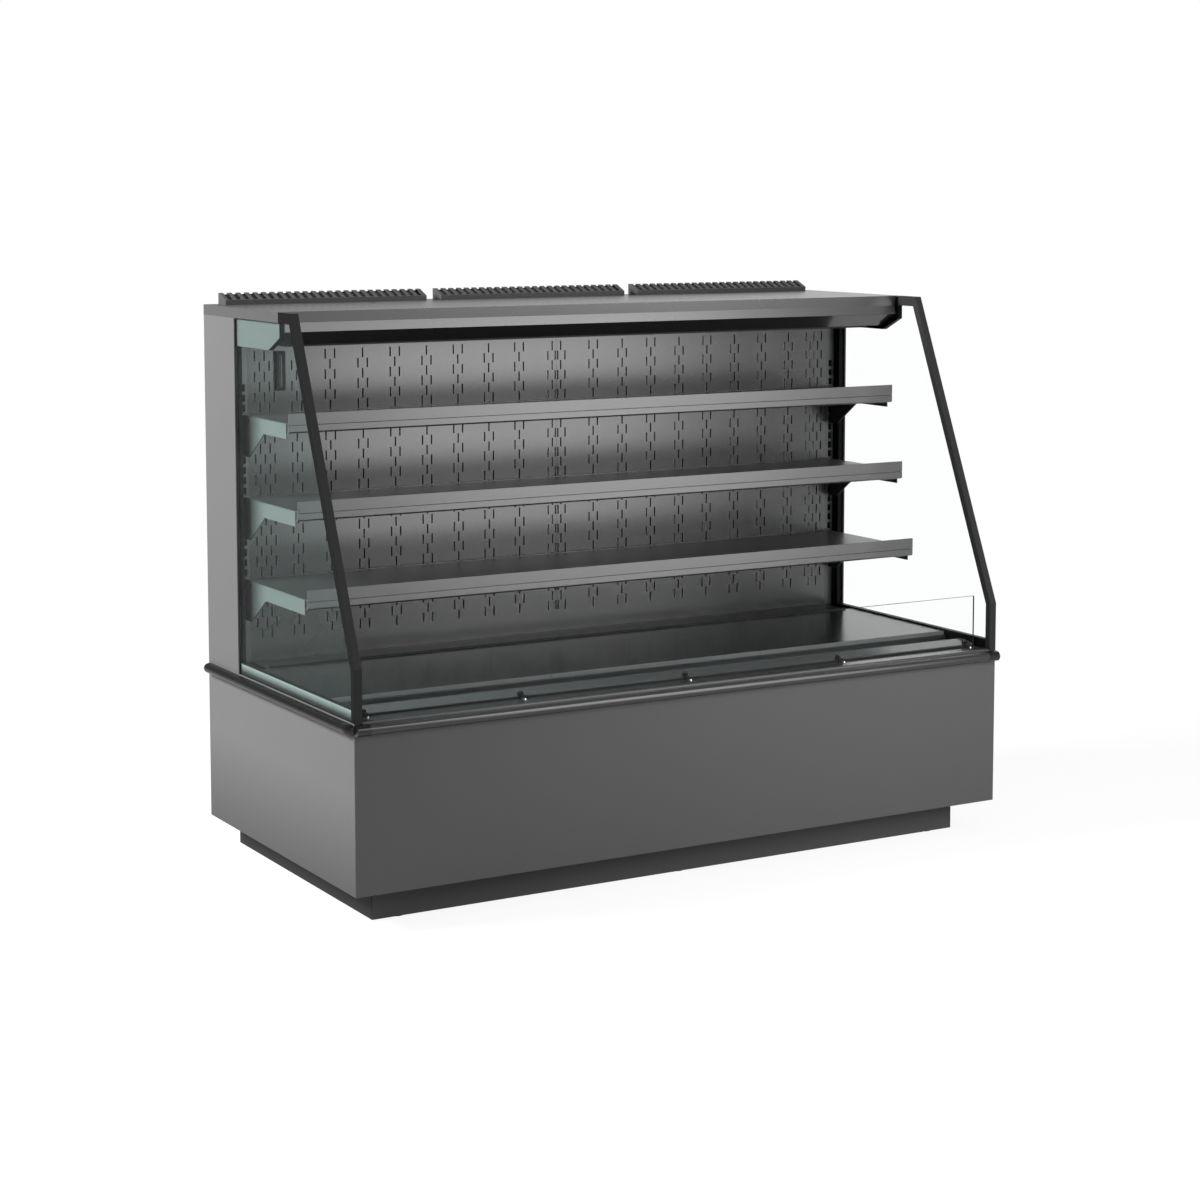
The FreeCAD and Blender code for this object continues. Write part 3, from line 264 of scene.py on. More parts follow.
def coatedFinish(name, look):
    # coated surface; a look can add rub marks, dust, painted shade that darkens along an axis, a painted
    # tone for how light falls on the faces that look to the front, a second tone on the faces that look
    # to the middle of the case, and painted shade on the faces that look away from it
    material, tree, surface, _ = startMaterial(name)
    coat = placeEffect(tree, "coat", {
        "Colour": grey(look["tone"], look.get("tint", 0.0)), "Drift": look["drift"],
        "Rough": look["rough"], "Rough Drift": look["roughDrift"], "Grain Scale": look["grain"],
    })
    colour = coat["Colour"]
    roughness = coat["Roughness"]
    if "rub" in look:
        rubbed = placeEffect(tree, "rub", {
            "Colour": colour, "Rub": grey(look["rubTone"]), "Rough": roughness, "Amount": look["rub"],
        })
        colour = rubbed["Colour"]
        roughness = rubbed["Roughness"]
    if "dust" in look:
        colour = placeEffect(tree, "dust", {"Colour": colour, "Amount": look["dust"]})["Colour"]
    # painted shade: the colour darkens towards one end of an axis, where the part should get less light
    if "paintedShadeTone" in look:
        place = addNode(tree, "ShaderNodeTexCoord").outputs["Object"]
        along = addNode(tree, "ShaderNodeSeparateXYZ", {0: place}).outputs[look["paintedShadeAxis"]]
        clear = remap(tree, along, look["paintedShadeFrom"], look["paintedShadeTo"])
        colour = mixColours(tree, clear, grey(look["paintedShadeTone"]), colour)
    # painted light and shade: faces that look to the front take their own tone, set by how light falls on
    # them
    if "paintedNoseLightTone" in look:
        facing = addNode(tree, "ShaderNodeTexCoord").outputs["Normal"]
        ahead = addNode(tree, "ShaderNodeSeparateXYZ", {0: facing}).outputs["Y"]
        paintedNoseLight = remap(tree, ahead, *paintedNoseLightBand)
        colour = mixColours(tree, paintedNoseLight, colour, grey(look["paintedNoseLightTone"]))
    shine = look.get("specular", plainShine)
    if "innerTone" in look:
        inside = placeEffect(tree, "inside", {"Front": look["innerFront"]})["Mask"]
        colour = mixColours(tree, inside, colour, grey(look["innerTone"]))
        shine = remap(tree, inside, 0.0, 1.0, shine, look["innerShine"])
    # painted shade: faces that look away from the middle of the case are darkened
    if "paintedOuterShadeTone" in look:
        outer = placeEffect(tree, "inside")["Outer"]
        colour = mixColours(tree, outer, colour, grey(look["paintedOuterShadeTone"]))
    feed(tree, surface.inputs["Base Color"], colour)
    feed(tree, surface.inputs["Roughness"], roughness)
    feed(tree, surface.inputs["Specular IOR Level"], shine)
    surface.inputs["Metallic"].default_value = look.get("metallic", 0.0)
    if look["peel"]:
        addBump(tree, surface, coat["Height"], look["peel"], look["peelDepth"])
    return material


cabinetPaint = {
    "tone": 0.076, "drift": 0.08, "rough": 0.42, "roughDrift": 0.08, "grain": 170.0, "specular": 0.25,
    "peel": 0.03, "peelDepth": 0.0004, "dust": 0.04,
}
# side panels: a lighter copy of the cabinet paint stands in for more light, with painted shade towards
# the floor
sideLitShadedPaint = dict(cabinetPaint, tone=0.085, paintedShadeTone=0.038, paintedShadeAxis="Z", paintedShadeFrom=0.04, paintedShadeTo=0.32)
# front panel: a lighter copy of the cabinet paint, painted light
frontLitPaint = dict(cabinetPaint, tone=0.089)
# brackets: painted shadow, darker towards the back wall
bracketShadedPaint = dict(cabinetPaint, tone=0.088, paintedShadeTone=0.012, paintedShadeAxis="Y", paintedShadeFrom=0.245, paintedShadeTo=0.15)
columnPaint = dict(cabinetPaint, innerTone=0.006, innerFront=1.0, innerShine=0.06)
endPaint = dict(cabinetPaint, innerTone=0.005, innerFront=1.0, innerShine=0.04)
# kick plates: real rub marks and dust, and painted shade on their outer faces under the base
kickPaint = dict(cabinetPaint, tone=0.082, paintedOuterShadeTone=0.02, specular=0.08, rub=0.4, rubTone=0.12, dust=0.1)
roofPaint = dict(cabinetPaint, tone=0.13, rough=0.27, metallic=0.7, specular=0.4)
shelfPaint = {
    "tone": 0.116, "drift": 0.05, "rough": 0.36, "roughDrift": 0.05, "grain": 190.0,
    "metallic": 0.8, "peel": 0.015, "peelDepth": 0.0003,
}
wallPaint = dict(shelfPaint, tone=0.092, rough=0.27)
# deck: a lighter painted tone on the faces that look to the front, a painted highlight
deckPaint = {
    "tone": 0.009, "tint": 0.02, "drift": 0.12, "rough": 0.22, "roughDrift": 0.03, "grain": 90.0,
    "peel": 0.0, "dust": 0.004, "paintedNoseLightTone": 0.13,
}
stripPaint = dict(deckPaint, rough=0.3, specular=0.25)
# sill: a lighter painted tone on its front faces, a painted highlight; inner sill: a darker one, painted
# shade
sillPaint = dict(deckPaint, tone=0.03, rough=0.16, paintedNoseLightTone=0.06)
sillInnerPaint = dict(sillPaint, tone=0.057, rough=0.2, paintedNoseLightTone=0.03)
blackPaint = {
    "tone": 0.007, "drift": 0.15, "rough": 0.36, "roughDrift": 0.08, "grain": 170.0, "specular": 0.2,
    "peel": 0.03, "peelDepth": 0.0003,
}
# side frames: painted shade on their outer faces
framePaint = dict(blackPaint, tone=0.026, paintedOuterShadeTone=0.004, specular=0.06, rough=0.45)
blackGloss = {
    "tone": 0.018, "drift": 0.10, "rough": 0.14, "roughDrift": 0.04, "grain": 90.0, "specular": 0.12,
    "peel": 0.01, "peelDepth": 0.0003,
}
blackPlastic = {
    "tone": 0.008, "drift": 0.2, "rough": 0.5, "roughDrift": 0.1, "grain": 260.0, "specular": 0.2,
    "peel": 0.06, "peelDepth": 0.0002,
}
grillePlastic = dict(blackPlastic, tone=0.043, rough=0.45, specular=0.35)
bumperPlastic = {
    "tone": 0.004, "drift": 0.15, "rough": 0.24, "roughDrift": 0.06, "grain": 220.0, "specular": 0.6,
    "peel": 0.01, "peelDepth": 0.0002, "rub": 0.3, "rubTone": 0.02,
}
# lit and shaded copies of the bumper plastic: a lighter tone on the front bumper, less shine on the side
# bumpers
bumperLitFrontLook = dict(bumperPlastic, tone=0.028)
bumperShadedSideLook = dict(bumperPlastic, specular=0.3)
rubberLook = dict(blackPlastic, tone=0.02, rough=0.7)
pipeLook = dict(blackPlastic, tone=0.33, rough=0.45)
foamLook = dict(blackPlastic, tone=0.7, rough=0.85)
lampLook = dict(blackPlastic, tone=0.85, rough=0.35, peel=0.05)


def zincFinish(name, look):
    # zinc coated sheet: flat crystals that each catch the light a little differently
    material, tree, surface, _ = startMaterial(name)
    place = addNode(tree, "ShaderNodeTexCoord").outputs["Object"]
    bent = addNode(tree, "ShaderNodeTexNoise", {"Vector": place, "Scale": look["wander"]})
    shares = {0: bent.outputs["Color"], 1: (look["bend"],) * 3, 2: place}
    warped = addNode(tree, "ShaderNodeVectorMath", shares, operation="MULTIPLY_ADD").outputs[0]
    cells = addNode(tree, "ShaderNodeTexVoronoi", {"Vector": warped, "Scale": look["crystal"]})
    pick = addNode(tree, "ShaderNodeSeparateColor", {0: cells.outputs["Color"]}).outputs[0]
    colour = mixColours(tree, pick, grey(look["dark"], look["tint"]), grey(look["light"], look["tint"]))
    feed(tree, surface.inputs["Base Color"], colour)
    feed(tree, surface.inputs["Roughness"], remap(tree, pick, 0.0, 1.0, look["smooth"], look["rough"]))
    surface.inputs["Metallic"].default_value = 1.0
    addBump(tree, surface, pick, look["relief"], look["reliefDepth"])
    return material


zincSheet = {
    "crystal": 70.0, "wander": 40.0, "bend": 0.006, "dark": 0.36, "light": 0.5, "tint": 0.01,
    "smooth": 0.34, "rough": 0.5, "relief": 0.05, "reliefDepth": 0.0002,
}
finMetal = dict(zincSheet, crystal=240.0, dark=0.6, light=0.7)


def glassFinish(name, look):
    # sheet glass: refracts, and lets lamps shine through to what stands behind
    material, tree, surface, output = startMaterial(name)
    place = addNode(tree, "ShaderNodeTexCoord").outputs["Object"]
    smear = noise(tree, place, look["smearScale"], look["smearDetail"])
    smear = remap(tree, smear, *look["smearBand"], 0.0, look["smear"])
    surface.inputs["Base Color"].default_value = look["tint"]
    surface.inputs["Metallic"].default_value = 0.0
    surface.inputs["Transmission Weight"].default_value = 1.0
    surface.inputs["IOR"].default_value = look["ior"]
    feed(tree, surface.inputs["Roughness"], smear)
    clear = addNode(tree, "ShaderNodeBsdfTransparent", {"Color": look["shade"]})
    shadow = addNode(tree, "ShaderNodeLightPath").outputs["Is Shadow Ray"]
    blend = addNode(tree, "ShaderNodeMixShader", {0: shadow, 1: surface.outputs[0], 2: clear.outputs[0]})
    feed(tree, output.inputs["Surface"], blend.outputs[0])
    return material


tintedGlass = {
    "tint": (0.85, 0.96, 0.94, 1.0), "shade": (0.86, 0.93, 0.92, 1.0), "ior": 1.07,
    "smear": 0.02, "smearScale": 6.0, "smearDetail": 4.0, "smearBand": (0.5, 0.8),
}
clearGlass = dict(tintedGlass, tint=(0.985, 0.996, 0.994, 1.0), ior=1.05)


def edgeFinish(name, look):
    # ground edge of sheet glass, nearly black with a green cast
    material, tree, surface, _ = startMaterial(name)
    place = addNode(tree, "ShaderNodeTexCoord").outputs["Object"]
    streak = noise(tree, place, look["streak"], look["streakDetail"])
    colour = mixColours(tree, streak, look["dark"], look["light"])
    feed(tree, surface.inputs["Base Color"], colour)
    surface.inputs["Roughness"].default_value = look["rough"]
    addBump(tree, surface, streak, look["grind"], look["grindDepth"])
    return material


glassEdge = {
    "dark": (0.004, 0.006, 0.006, 1.0), "light": (0.018, 0.027, 0.026, 1.0), "streak": 300.0,
    "streakDetail": 3.0, "rough": 0.25, "grind": 0.1, "grindDepth": 0.0002,
}


def channelFinish(name, look):
    # glass channel: painted shade outside, dark at its foot and paler to its top edge; black inside and
    # on top
    material, tree, surface, _ = startMaterial(name)
    place = addNode(tree, "ShaderNodeTexCoord").outputs["Object"]
    height = addNode(tree, "ShaderNodeSeparateXYZ", {0: place}).outputs["Z"]
    paintedShadeClimb = remap(tree, height, look["low"], look["high"])
    paintedShadeOutside = mixColours(tree, paintedShadeClimb, grey(look["dark"]), grey(look["light"]))
    outer = placeEffect(tree, "inside")["Outer"]
    feed(tree, surface.inputs["Base Color"], mixColours(tree, outer, grey(look["inner"]), paintedShadeOutside))
    wear = noise(tree, place, look["wear"])
    feed(tree, surface.inputs["Roughness"], remap(tree, wear, *look["wearBand"]))
    surface.inputs["Specular IOR Level"].default_value = look["specular"]
    return material


glassChannel = {
    "low": 0.504, "high": 0.521, "dark": 0.008, "light": 0.16, "inner": 0.006,
    "wear": 40.0, "wearBand": (0.3, 0.7, 0.4, 0.5), "specular": 0.2,
}
chromeLook = dict(zincSheet, crystal=400.0, dark=0.7, light=0.75, smooth=0.12, rough=0.18)
scaleLook = dict(blackPlastic, tone=0.11, rough=0.5)
tubeLook = dict(blackPlastic, tone=0.25, rough=0.2, specular=0.5)

finishes = {
    "cabinet": coatedFinish("cabinetPaint", cabinetPaint),
    "side": coatedFinish("sideLitShadedPaint", sideLitShadedPaint),
    "front": coatedFinish("frontLitPaint", frontLitPaint),
    "bracket": coatedFinish("bracketShadedPaint", bracketShadedPaint),
    "column": coatedFinish("columnPaint", columnPaint),
    "canopyEnd": coatedFinish("canopyEndPaint", endPaint),
    "kick": coatedFinish("kickPaint", kickPaint),
    "roof": coatedFinish("roofPaint", roofPaint),
    "shelf": coatedFinish("shelfPaint", shelfPaint),
    "deck": coatedFinish("deckPaint", deckPaint),
    "strip": coatedFinish("stripPaint", stripPaint),
    "wall": coatedFinish("wallPaint", wallPaint),
    "sill": coatedFinish("sillPaint", sillPaint),
    "sillInner": coatedFinish("sillInnerPaint", sillInnerPaint),
    "black": coatedFinish("blackPaint", blackPaint),
    "frame": coatedFinish("framePaint", framePaint),
    "gloss": coatedFinish("blackGloss", blackGloss),
    "plastic": coatedFinish("blackPlastic", blackPlastic),
    "grille": coatedFinish("grillePlastic", grillePlastic),
    "bumper": coatedFinish("bumperPlastic", bumperPlastic),
    "bumperLitFront": coatedFinish("bumperLitFront", bumperLitFrontLook),
    "bumperShadedSide": coatedFinish("bumperShadedSide", bumperShadedSideLook),
    "rubber": coatedFinish("rubberMount", rubberLook),
    "pipe": coatedFinish("drainPlastic", pipeLook),
    "foam": coatedFinish("foamCore", foamLook),
    "lamp": coatedFinish("lampCover", lampLook),
    "zinc": zincFinish("zincSheet", zincSheet),
    "fins": zincFinish("finMetal", finMetal),
    "tintedGlass": glassFinish("tintedGlass", tintedGlass),
    "clearGlass": glassFinish("clearGlass", clearGlass),
    "glassEdge": edgeFinish("glassEdge", glassEdge),
    "channel": channelFinish("glassChannel", glassChannel),
    "chrome": zincFinish("chromeScrew", chromeLook),
    "scale": coatedFinish("scalePlate", scaleLook),
    "tube": coatedFinish("scaleTube", tubeLook),
}
print("finishes:", len(finishes))

# Which finish each CAD node wears, and the record slot it belongs to
nodeFinish = {
    "cabinet_paint": {
        "cabinet": ["rear_service_panel", "back_panel"],
        "front": ["front_panel"],
        "side": ["base_side_left", "base_side_right"],
        "bracket": ["shelf_brackets"],
        "roof": ["roof_panel"],
        "column": ["column_side_left", "column_side_right"],
        "canopyEnd": ["canopy_ends"],
        "kick": ["kick_plates"],
        "wall": ["perforated_panel_left", "perforated_panel_right"],
        "shelf": ["shelf_bottom", "shelf_middle", "shelf_top", "shelf_uprights"],
    },
    "deck_paint": {
        "deck": ["deck_pan_left", "deck_pan_centre", "deck_pan_right"],
        "strip": ["deck_rear_strip"],
        "sill": ["front_sill"],
        "sillInner": ["return_grille"],
    },
    "black_paint": {
        "frame": ["side_frame_left", "side_frame_right"],
        "black": ["condenser_shroud", "compressor"],
    },
    "black_gloss": {"gloss": ["canopy_soffit"]},
    "black_plastic": {
        "grille": ["vent_grilles"],
        "plastic": [
            "glass_clips", "glass_seals", "air_outlet", "thermometer", "main_switch", "control_box",
            "evaporator_fan_left", "evaporator_fan_centre", "evaporator_fan_right", "condenser_fan",
            "fan_motors", "levelling_feet",
        ],
    },
    "bumper_plastic": {
        "bumper": ["bumper_corners"],
        "bumperLitFront": ["bumper_front"],
        "bumperShadedSide": ["bumper_left", "bumper_right"],
    },
    "clear_glass": {
        "clearGlass": ["front_glass", "side_glass_right"],
        "tintedGlass": ["side_glass_left"],
    },
    "galvanised_steel": {
        "zinc": ["base_frame", "machine_floor", "insulated_tub", "fan_plate", "condensate_tray"],
    },
    "foam_core": {"foam": ["insulated_back"]},
    "coil_metal": {"fins": ["evaporator_coil", "condenser_coil"]},
    "rubber_mount": {"rubber": ["compressor_mounts"]},
    "pipe_plastic": {"pipe": ["drain_pipe"]},
    "lamp_cover": {"lamp": ["lamp"]},
}
finishOf = {}
for slotName, groups in nodeFinish.items():
    for finishName, names in groups.items():
        for name in names:
            finishOf[name] = finishes[finishName]
for name, node in nodes.items():
    node.data.materials.clear()
    node.data.materials.append(finishOf[name])
print("dressed:", len(finishOf), "CAD nodes")


# Rounded copies of the CAD pieces that show

def linkObject(name, mesh):
    item = bpy.data.objects.new(name, mesh)
    bpy.context.scene.collection.objects.link(item)
    return item


def nodeBox(name):
    corners = [vertex.co for vertex in nodes[name].data.vertices]
    low = Vector([min(corner[axis] for corner in corners) for axis in range(3)])
    high = Vector([max(corner[axis] for corner in corners) for axis in range(3)])
    return low, high


mergeReach = 0.01 * mm
flatAngle = math.radians(0.5)


def mergedCopy(nodeName, pieceName):
    # the CAD triangles joined into whole flat faces
    shape = bmesh.new()
    shape.from_mesh(nodes[nodeName].data)
    bmesh.ops.remove_doubles(shape, verts=shape.verts, dist=mergeReach)
    bmesh.ops.dissolve_limit(shape, angle_limit=flatAngle, verts=shape.verts, edges=shape.edges)
    mesh = bpy.data.meshes.new(pieceName)
    shape.to_mesh(mesh)
    shape.free()
    return mesh


def standFor(piece, nodeName):
    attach(piece, bodyOf[nodeName])
    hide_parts(nodeName)


def roundEdges(piece, radius, steps=2, sharp=15.0):
    # the weights keep the shading of large faces flat up to their rounded edges
    rounding = piece.modifiers.new("edgeRounding", "BEVEL")
    rounding.width = radius
    rounding.segments = steps
    rounding.limit_method = "ANGLE"
    rounding.angle_limit = math.radians(sharp)
    weights = piece.modifiers.new("faceWeights", "WEIGHTED_NORMAL")
    weights.weight = 100
    weights.keep_sharp = True


def roundedPiece(nodeName, pieceName, radius):
    mesh = mergedCopy(nodeName, pieceName)
    for face in mesh.polygons:
        face.use_smooth = True
    mesh.materials.append(finishOf[nodeName])
    piece = linkObject(pieceName, mesh)
    roundEdges(piece, radius)
    standFor(piece, nodeName)


roundedEdges = {  # node: (piece, edge radius in millimetres)
    "front_panel": ("frontPanel", 0.8),
    "base_side_left": ("baseSideLeft", 0.8),
    "base_side_right": ("baseSideRight", 0.8),
    "kick_plates": ("kickPlates", 0.8),
    "column_side_left": ("columnSideLeft", 1.2),
    "column_side_right": ("columnSideRight", 1.2),
    "roof_panel": ("roofPanel", 0.7),
    "canopy_ends": ("canopyEnds", 1.0),
    "canopy_soffit": ("canopySoffit", 0.6),
    "side_frame_left": ("sideFrameLeft", 1.2),
    "side_frame_right": ("sideFrameRight", 1.2),
    "shelf_bottom": ("shelfBottom", 0.5),
    "shelf_middle": ("shelfMiddle", 0.5),
    "shelf_top": ("shelfTop", 0.5),
    "shelf_brackets": ("shelfBrackets", 0.4),
    "deck_pan_left": ("deckPanLeft", 0.8),
    "deck_pan_centre": ("deckPanCentre", 0.8),
    "deck_pan_right": ("deckPanRight", 0.8),
    "deck_rear_strip": ("deckRearStrip", 0.6),
    "glass_clips": ("glassClips", 0.6),
    "bumper_corners": ("bumperCorners", 0.3),
    "vent_grilles": ("ventGrilles", 0.6),
    "return_grille": ("returnGrille", 0.4),
    "shelf_uprights": ("shelfUprights", 0.3),
    "thermometer": ("thermometerCase", 1.0),
}
for nodeName, (pieceName, radius) in roundedEdges.items():
    roundedPiece(nodeName, pieceName, radius * mm)
print("rounded:", len(roundedEdges), "pieces")


def glassPane(nodeName, pieceName, edge):
    # the two large faces stay clear, the narrow ones are ground edges
    mesh = mergedCopy(nodeName, pieceName)
    mesh.materials.append(finishOf[nodeName])
    mesh.materials.append(finishes["glassEdge"])
    largest = max(face.area for face in mesh.polygons)
    for face in mesh.polygons:
        face.material_index = 0 if face.area > largest / 2 else 1
    piece = linkObject(pieceName, mesh)
    rounding = piece.modifiers.new("groundEdge", "BEVEL")
    rounding.width = edge
    rounding.segments = 1
    rounding.limit_method = "ANGLE"
    rounding.material = 1
    standFor(piece, nodeName)


glassPanes = {  # node: (piece, ground edge in millimetres)
    "side_glass_left": ("sideGlassLeft", 0.4),
    "side_glass_right": ("sideGlassRight", 0.4),
    "front_glass": ("frontGlass", 0.5),
}
for nodeName, (pieceName, edge) in glassPanes.items():
    glassPane(nodeName, pieceName, edge * mm)
print("glass:", len(glassPanes), "panes")


# The outer faces of the back panels are let in by the height of a screw head

rearPanels = {  # node: (piece, screws across, screws up)
    "back_panel": ("backPanel", 11, 6),
    "rear_service_panel": ("rearServicePanel", 11, 3),
}
screwSettings = {"inset": 11.0, "radius": 4.5, "height": 0.9, "socket": 0.5}
faceReach = 0.1 * mm


def sunkPanel(nodeName, pieceName):
    mesh = mergedCopy(nodeName, pieceName)
    back = nodeBox(nodeName)[1].y
    for vertex in mesh.vertices:
        if vertex.co.y > back - faceReach:
            vertex.co.y = back - screwSettings["height"] * mm
    mesh.materials.append(finishOf[nodeName])
    standFor(linkObject(pieceName, mesh), nodeName)


def edgeScrews(nodeName, across, up):
    low, high = nodeBox(nodeName)
    inset = screwSettings["inset"] * mm
    y = high.y - screwSettings["height"] * mm
    left, right = low.x + inset, high.x - inset
    bottom, top = low.z + inset, high.z - inset
    columns = [left + (right - left) * step / (across - 1) for step in range(across)]
    rows = [bottom + (top - bottom) * step / (up - 1) for step in range(up)]
    spots = [(x, y, z) for x in columns for z in (bottom, top)]
    spots += [(x, y, z) for x in (left, right) for z in rows[1:-1]]
    return [(spot, (0, 1, 0)) for spot in spots]


# Small parts that repeat, scattered by geometry trees

def geometryTree(name, inputs):
    tree = bpy.data.node_groups.new(name, "GeometryNodeTree")
    keys = {}
    sockets = [("Points", "NodeSocketGeometry")] + inputs + [("Finish", "NodeSocketMaterial")]
    for label, kind in sockets:
        keys[label] = tree.interface.new_socket(label, in_out="INPUT", socket_type=kind).identifier
    tree.interface.new_socket("Geometry", in_out="OUTPUT", socket_type="NodeSocketGeometry")
    entry = tree.nodes.new("NodeGroupInput").outputs
    outlet = tree.nodes.new("NodeGroupOutput").inputs
    return tree, entry, outlet, keys


def spreadShape(tree, entry, outlet, shape):
    # the shape stands on every point, its z axis along the point's facing
    named = {"Name": "facing"}
    facing = addNode(tree, "GeometryNodeInputNamedAttribute", named, data_type="FLOAT_VECTOR")
    direction = {"Vector": facing.outputs["Attribute"]}
    turn = addNode(tree, "FunctionNodeAlignRotationToVector", direction, axis="Z")
    placed = addNode(tree, "GeometryNodeInstanceOnPoints", {
        "Points": entry["Points"], "Instance": shape, "Rotation": turn.outputs[0],
    })
    solid = addNode(tree, "GeometryNodeRealizeInstances", {0: placed.outputs[0]})
    dressed = addNode(tree, "GeometryNodeSetMaterial", {
        "Geometry": solid.outputs[0], "Material": entry["Finish"],
    })
    feed(tree, outlet["Geometry"], dressed.outputs[0])


screwShape = {"sides": 14, "shoulder": 0.78, "sunk": 0.7}


def makeScrewTree():
    # low head with a sunk socket
    sizes = [(label, numberSocket) for label in ("Radius", "Height", "Socket")]
    tree, entry, outlet, keys = geometryTree("screwHeads", sizes)
    shoulder = maths(tree, "MULTIPLY", entry["Radius"], screwShape["shoulder"])
    head = addNode(tree, "GeometryNodeMeshCone", {
        "Vertices": screwShape["sides"], "Radius Top": shoulder, "Radius Bottom": entry["Radius"],
        "Depth": entry["Height"],
    })
    rim = addNode(tree, "GeometryNodeExtrudeMesh", {
        "Mesh": head.outputs["Mesh"], "Selection": head.outputs["Top"], "Offset Scale": 0.0,
    })
    mouth = addNode(tree, "GeometryNodeScaleElements", {
        "Geometry": rim.outputs["Mesh"], "Selection": rim.outputs["Top"], "Scale": entry["Socket"],
    })
    depth = maths(tree, "MULTIPLY", entry["Height"], -screwShape["sunk"])
    sunk = addNode(tree, "GeometryNodeExtrudeMesh", {
        "Mesh": mouth.outputs[0], "Selection": rim.outputs["Top"], "Offset Scale": depth,
    })
    spreadShape(tree, entry, outlet, sunk.outputs["Mesh"])
    return tree, keys


def makeBladeTree():
    # curled sheet blade behind a louvre slot
    sizes = [(label, numberSocket) for label in ("Length", "Width", "Thickness", "Curl", "Tilt")]
    tree, entry, outlet, keys = geometryTree("louvreBlades", sizes)
    sheet = addNode(tree, "GeometryNodeMeshGrid", {
        "Size X": entry["Length"], "Size Y": entry["Width"], "Vertices X": 2, "Vertices Y": 6,
    })
    place = addNode(tree, "GeometryNodeInputPosition").outputs[0]
    across = addNode(tree, "ShaderNodeSeparateXYZ", {0: place}).outputs["Y"]
    rise = maths(tree, "MULTIPLY", maths(tree, "MULTIPLY", across, across), entry["Curl"])
    offset = addNode(tree, "ShaderNodeCombineXYZ", {"Z": rise}).outputs[0]
    bend = {"Geometry": sheet.outputs["Mesh"], "Offset": offset}
    bent = addNode(tree, "GeometryNodeSetPosition", bend).outputs[0]
    thick = addNode(tree, "GeometryNodeExtrudeMesh", {
        "Mesh": bent, "Offset Scale": entry["Thickness"], "Individual": False,
    })
    under = addNode(tree, "GeometryNodeFlipFaces", {0: bent})
    whole = addNode(tree, "GeometryNodeJoinGeometry")
    feed(tree, whole.inputs[0], thick.outputs["Mesh"])
    feed(tree, whole.inputs[0], under.outputs[0])
    tilt = addNode(tree, "ShaderNodeCombineXYZ", {"X": entry["Tilt"]}).outputs[0]
    turned = addNode(tree, "GeometryNodeTransform", {"Geometry": whole.outputs[0], "Rotation": tilt})
    spreadShape(tree, entry, outlet, turned.outputs[0])
    return tree, keys


def makeTickTree():
    # printed scale marks, each a low ridge
    sizes = [(label, numberSocket) for label in ("Length", "Width", "Height")]
    tree, entry, outlet, keys = geometryTree("scaleTicks", sizes)
    ridge = addNode(tree, "GeometryNodeMeshCone", {
        "Vertices": 4, "Radius Top": 0.9, "Radius Bottom": 1.0, "Depth": 1.0,
    })
    square = addNode(tree, "GeometryNodeTransform", {
        "Geometry": ridge.outputs["Mesh"], "Rotation": (0.0, 0.0, math.pi / 4),
    })
    size = addNode(tree, "ShaderNodeCombineXYZ", {
        "X": entry["Length"], "Y": entry["Width"], "Z": entry["Height"],
    }).outputs[0]
    sized = addNode(tree, "GeometryNodeTransform", {"Geometry": square.outputs[0], "Scale": size})
    spreadShape(tree, entry, outlet, sized.outputs[0])
    return tree, keys


def spreadPiece(pieceName, treeAndKeys, points, sizes, finishName):
    tree, keys = treeAndKeys
    mesh = bpy.data.meshes.new(pieceName + "Points")
    mesh.from_pydata([place for place, _ in points], [], [])
    facing = mesh.attributes.new("facing", "FLOAT_VECTOR", "POINT")
    for index, (_, direction) in enumerate(points):
        facing.data[index].vector = direction
    piece = linkObject(pieceName, mesh)
    spread = piece.modifiers.new("spread", "NODES")
    spread.node_group = tree
    for label, value in sizes.items():
        spread[keys[label]] = value
    spread[keys["Finish"]] = finishes[finishName]
    shown = piece.evaluated_get(bpy.context.evaluated_depsgraph_get())
    solid = bpy.data.meshes.new_from_object(shown)
    piece.modifiers.remove(spread)
    piece.data = solid
    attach(piece, "cabinet")


screwTree = makeScrewTree()
bladeTree = makeBladeTree()
tickTree = makeTickTree()

screwPoints = []
for nodeName, (pieceName, across, up) in rearPanels.items():
    sunkPanel(nodeName, pieceName)
    screwPoints += edgeScrews(nodeName, across, up)
spreadPiece("panelScrews", screwTree, screwPoints, {
    "Radius": screwSettings["radius"] * mm, "Height": screwSettings["height"] * mm,
    "Socket": screwSettings["socket"],
}, "zinc")

clipScrews = {
    "radius": 4.0, "height": 3.0, "socket": 0.4, "forward": 11.0, "inset": 7.0,
    "shares": (-1.0, -0.531, 0.0, 0.531, 1.0),
}
clipLow, clipHigh = nodeBox("glass_clips")
sillTop = 498.5 * mm
clipPoints = []
for share in clipScrews["shares"]:
    x = share * (clipHigh.x - clipScrews["inset"] * mm)
    clipPoints.append(((x, clipLow.y - clipScrews["forward"] * mm, sillTop), (0, 0, 1)))
spreadPiece("clipScrews", screwTree, clipPoints, {
    "Radius": clipScrews["radius"] * mm, "Height": clipScrews["height"] * mm,
    "Socket": clipScrews["socket"],
}, "chrome")

